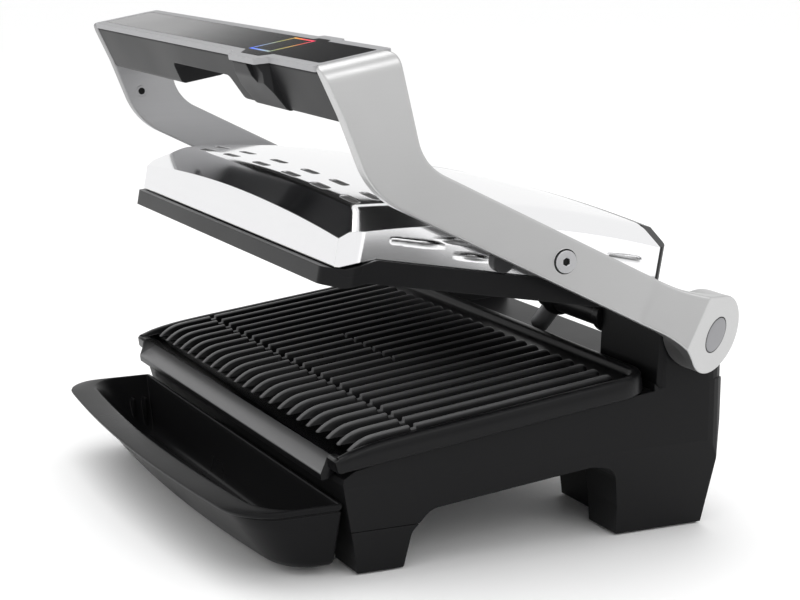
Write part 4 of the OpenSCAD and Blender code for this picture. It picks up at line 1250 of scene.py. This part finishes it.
@dataclass
class Studio:
    """Camera, floor, backdrop, lamps and cards.

    The cards give polished pieces the dark reflections of the photograph. They are
    placed for its view, so from other sides the reflections differ from a real grill's.

    Attributes:
        eye: where the camera stands.
        azimuth: heading of the view, in degrees.
        elevation: how far it looks down, in degrees.
        focal_px: focal length in pixels of the picture.
        floor_half: half the floor's width, in metres.
        floor_value: the floor's brightness, linear.
        ambient: strength of the sky as soft light.
        backdrop: strength of the sky where the camera or a mirror sees it.
    """

    eye: tuple[float, float, float] = (1.0257, -0.4650, 0.3368)
    azimuth: float = 64.82
    elevation: float = 11.45
    focal_px: float = 2005.0
    floor_half: float = 6.0
    floor_value: float = 0.97
    ambient: float = 1.03
    backdrop: float = 1.0

    def camera(self) -> None:
        """Sets the camera where the photograph was taken from."""
        az, el = math.radians(self.azimuth), math.radians(self.elevation)
        ahead = Vector((-math.sin(az) * math.cos(el), math.cos(az) * math.cos(el), -math.sin(el)))
        right = Vector((math.cos(az), math.sin(az), 0.0))
        top = right.cross(ahead)
        data = bpy.data.cameras.new("view")
        data.sensor_width = SENSOR_MM
        data.lens = self.focal_px / PICTURE_PX * SENSOR_MM
        data.clip_start = 0.01
        cam = bpy.data.objects.new("view", data)
        turn = Matrix((right, top, -ahead)).transposed().to_4x4()
        cam.matrix_world = Matrix.Translation(Vector(self.eye)) @ turn
        bpy.context.scene.collection.objects.link(cam)
        bpy.context.scene.camera = cam

    def floor(self) -> None:
        """Pale floor that fades into the white backdrop, with the grill's shadow kept."""
        mesh = bpy.data.meshes.new("floor")
        r = self.floor_half
        mesh.from_pydata([(-r, -r, 0), (r, -r, 0), (r, r, 0), (-r, r, 0)], [], [(0, 1, 2, 3)])
        obj = bpy.data.objects.new("floor", mesh)
        bpy.context.scene.collection.objects.link(obj)
        mat = bpy.data.materials.new("floor")
        mat.use_nodes = True
        shader = mat.node_tree.nodes["Principled BSDF"]
        shader.inputs["Base Color"].default_value = (*(self.floor_value,) * 3, 1)
        shader.inputs["Roughness"].default_value = 0.6
        mesh.materials.append(mat)

    def sky(self) -> None:
        """Even soft light, which the camera and mirror rays see as plain white."""
        world = bpy.data.worlds.new("sky")
        bpy.context.scene.world = world
        world.use_nodes = True
        tree = world.node_tree
        link = tree.links.new
        back = tree.nodes["Background"]
        back.inputs["Color"].default_value = (1.0, 1.0, 1.0, 1.0)
        path = add_node(tree, "LightPath")
        seen = add_node(tree, "Math", operation="MAXIMUM")
        link(path.outputs["Is Camera Ray"], seen.inputs[0])
        link(path.outputs["Is Glossy Ray"], seen.inputs[1])
        amount = add_node(tree, "MapRange", {"To Min": self.ambient, "To Max": self.backdrop})
        link(seen.outputs["Value"], amount.inputs["Value"])
        link(amount.outputs["Result"], back.inputs["Strength"])

    def lamp(self, name: str, place: Point, aim: Point, size: tuple[float, float], power: float) -> None:
        """Adds one soft box.

        Args:
            name: the lamp's name.
            place: where it hangs.
            aim: the point it faces.
            size: its width and height.
            power: its power in watts.
        """
        data = bpy.data.lights.new(name, "AREA")
        data.shape = "RECTANGLE"
        data.size, data.size_y = size
        data.energy = power
        obj = bpy.data.objects.new(name, data)
        obj.location = place
        obj.rotation_euler = (Vector(aim) - Vector(place)).to_track_quat("-Z", "Y").to_euler()
        bpy.context.scene.collection.objects.link(obj)

    def card(self, name: str, place: Point, aim: Point, size: tuple[float, float], value: float) -> None:
        """Adds a dark or grey card that only polished surfaces see.

        Args:
            name: the card's name.
            place: its middle.
            aim: the point it faces.
            size: its width and height.
            value: its brightness, linear.
        """
        w, h = size[0] / 2, size[1] / 2
        mesh = bpy.data.meshes.new(name)
        turn = (Vector(aim) - Vector(place)).to_track_quat("Z", "Y").to_matrix().to_4x4()
        corners = [Matrix.Translation(Vector(place)) @ turn @ Vector(c)
                   for c in ((-w, -h, 0), (w, -h, 0), (w, h, 0), (-w, h, 0))]
        mesh.from_pydata([tuple(c) for c in corners], [], [(0, 1, 2, 3)])
        obj = bpy.data.objects.new(name, mesh)
        bpy.context.scene.collection.objects.link(obj)
        mat = bpy.data.materials.new(name)
        mat.use_nodes = True
        tree = mat.node_tree
        tree.nodes.remove(tree.nodes["Principled BSDF"])
        glow = add_node(tree, "Emission", {"Color": (value, value, value, 1)})
        tree.links.new(glow.outputs["Emission"], tree.nodes["Material Output"].inputs["Surface"])
        mesh.materials.append(mat)
        obj.visible_camera = False
        obj.visible_diffuse = False
        obj.visible_shadow = False
        obj.visible_transmission = False

    def build(self) -> None:
        """Sets up the whole studio."""
        self.camera()
        self.floor()
        self.sky()
        self.lamp("top box", (-0.3, -0.2, 1.6), (0, 0, 0.1), (1.6, 1.6), 12.0)
        self.lamp("right box", (1.9, 0.4, 1.1), (0, 0, 0.15), (1.0, 1.0), 6.0)
        self.card("left flag", (-0.45, -0.135, 0.46), (0.5, -0.135, 0.46), (0.23, 0.23), 0.01)
        self.card("handle flag", (-0.55, 0.15, 0.50), (0.5, 0.15, 0.50), (0.40, 0.26), 0.03)
        self.card("band flag", (-0.2, 0.24, 0.72), (-0.2, 0.24, 0.0), (0.42, 0.15), 0.01)
        self.card("side flag", (0.75, 0.10, 0.012), (0.75, 0.10, 1.0), (0.60, 0.32), 0.01)
        self.card("side flag, pale", (0.78, 0.31, 0.013), (0.78, 0.31, 1.0), (0.50, 0.10), 0.20)
        bpy.context.scene.view_settings.view_transform = "Standard"


def main() -> None:
    """Builds the grill and its studio."""
    logging.basicConfig(level=logging.INFO, format="%(message)s")
    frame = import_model()
    Studio().build()
    dress_solids(frame)
    DripTray().build()
    LowerPlate().build()
    LidCover().build()
    for hand in (1, -1):
        Arm(hand).build()


if __name__ == "__main__":
    main()
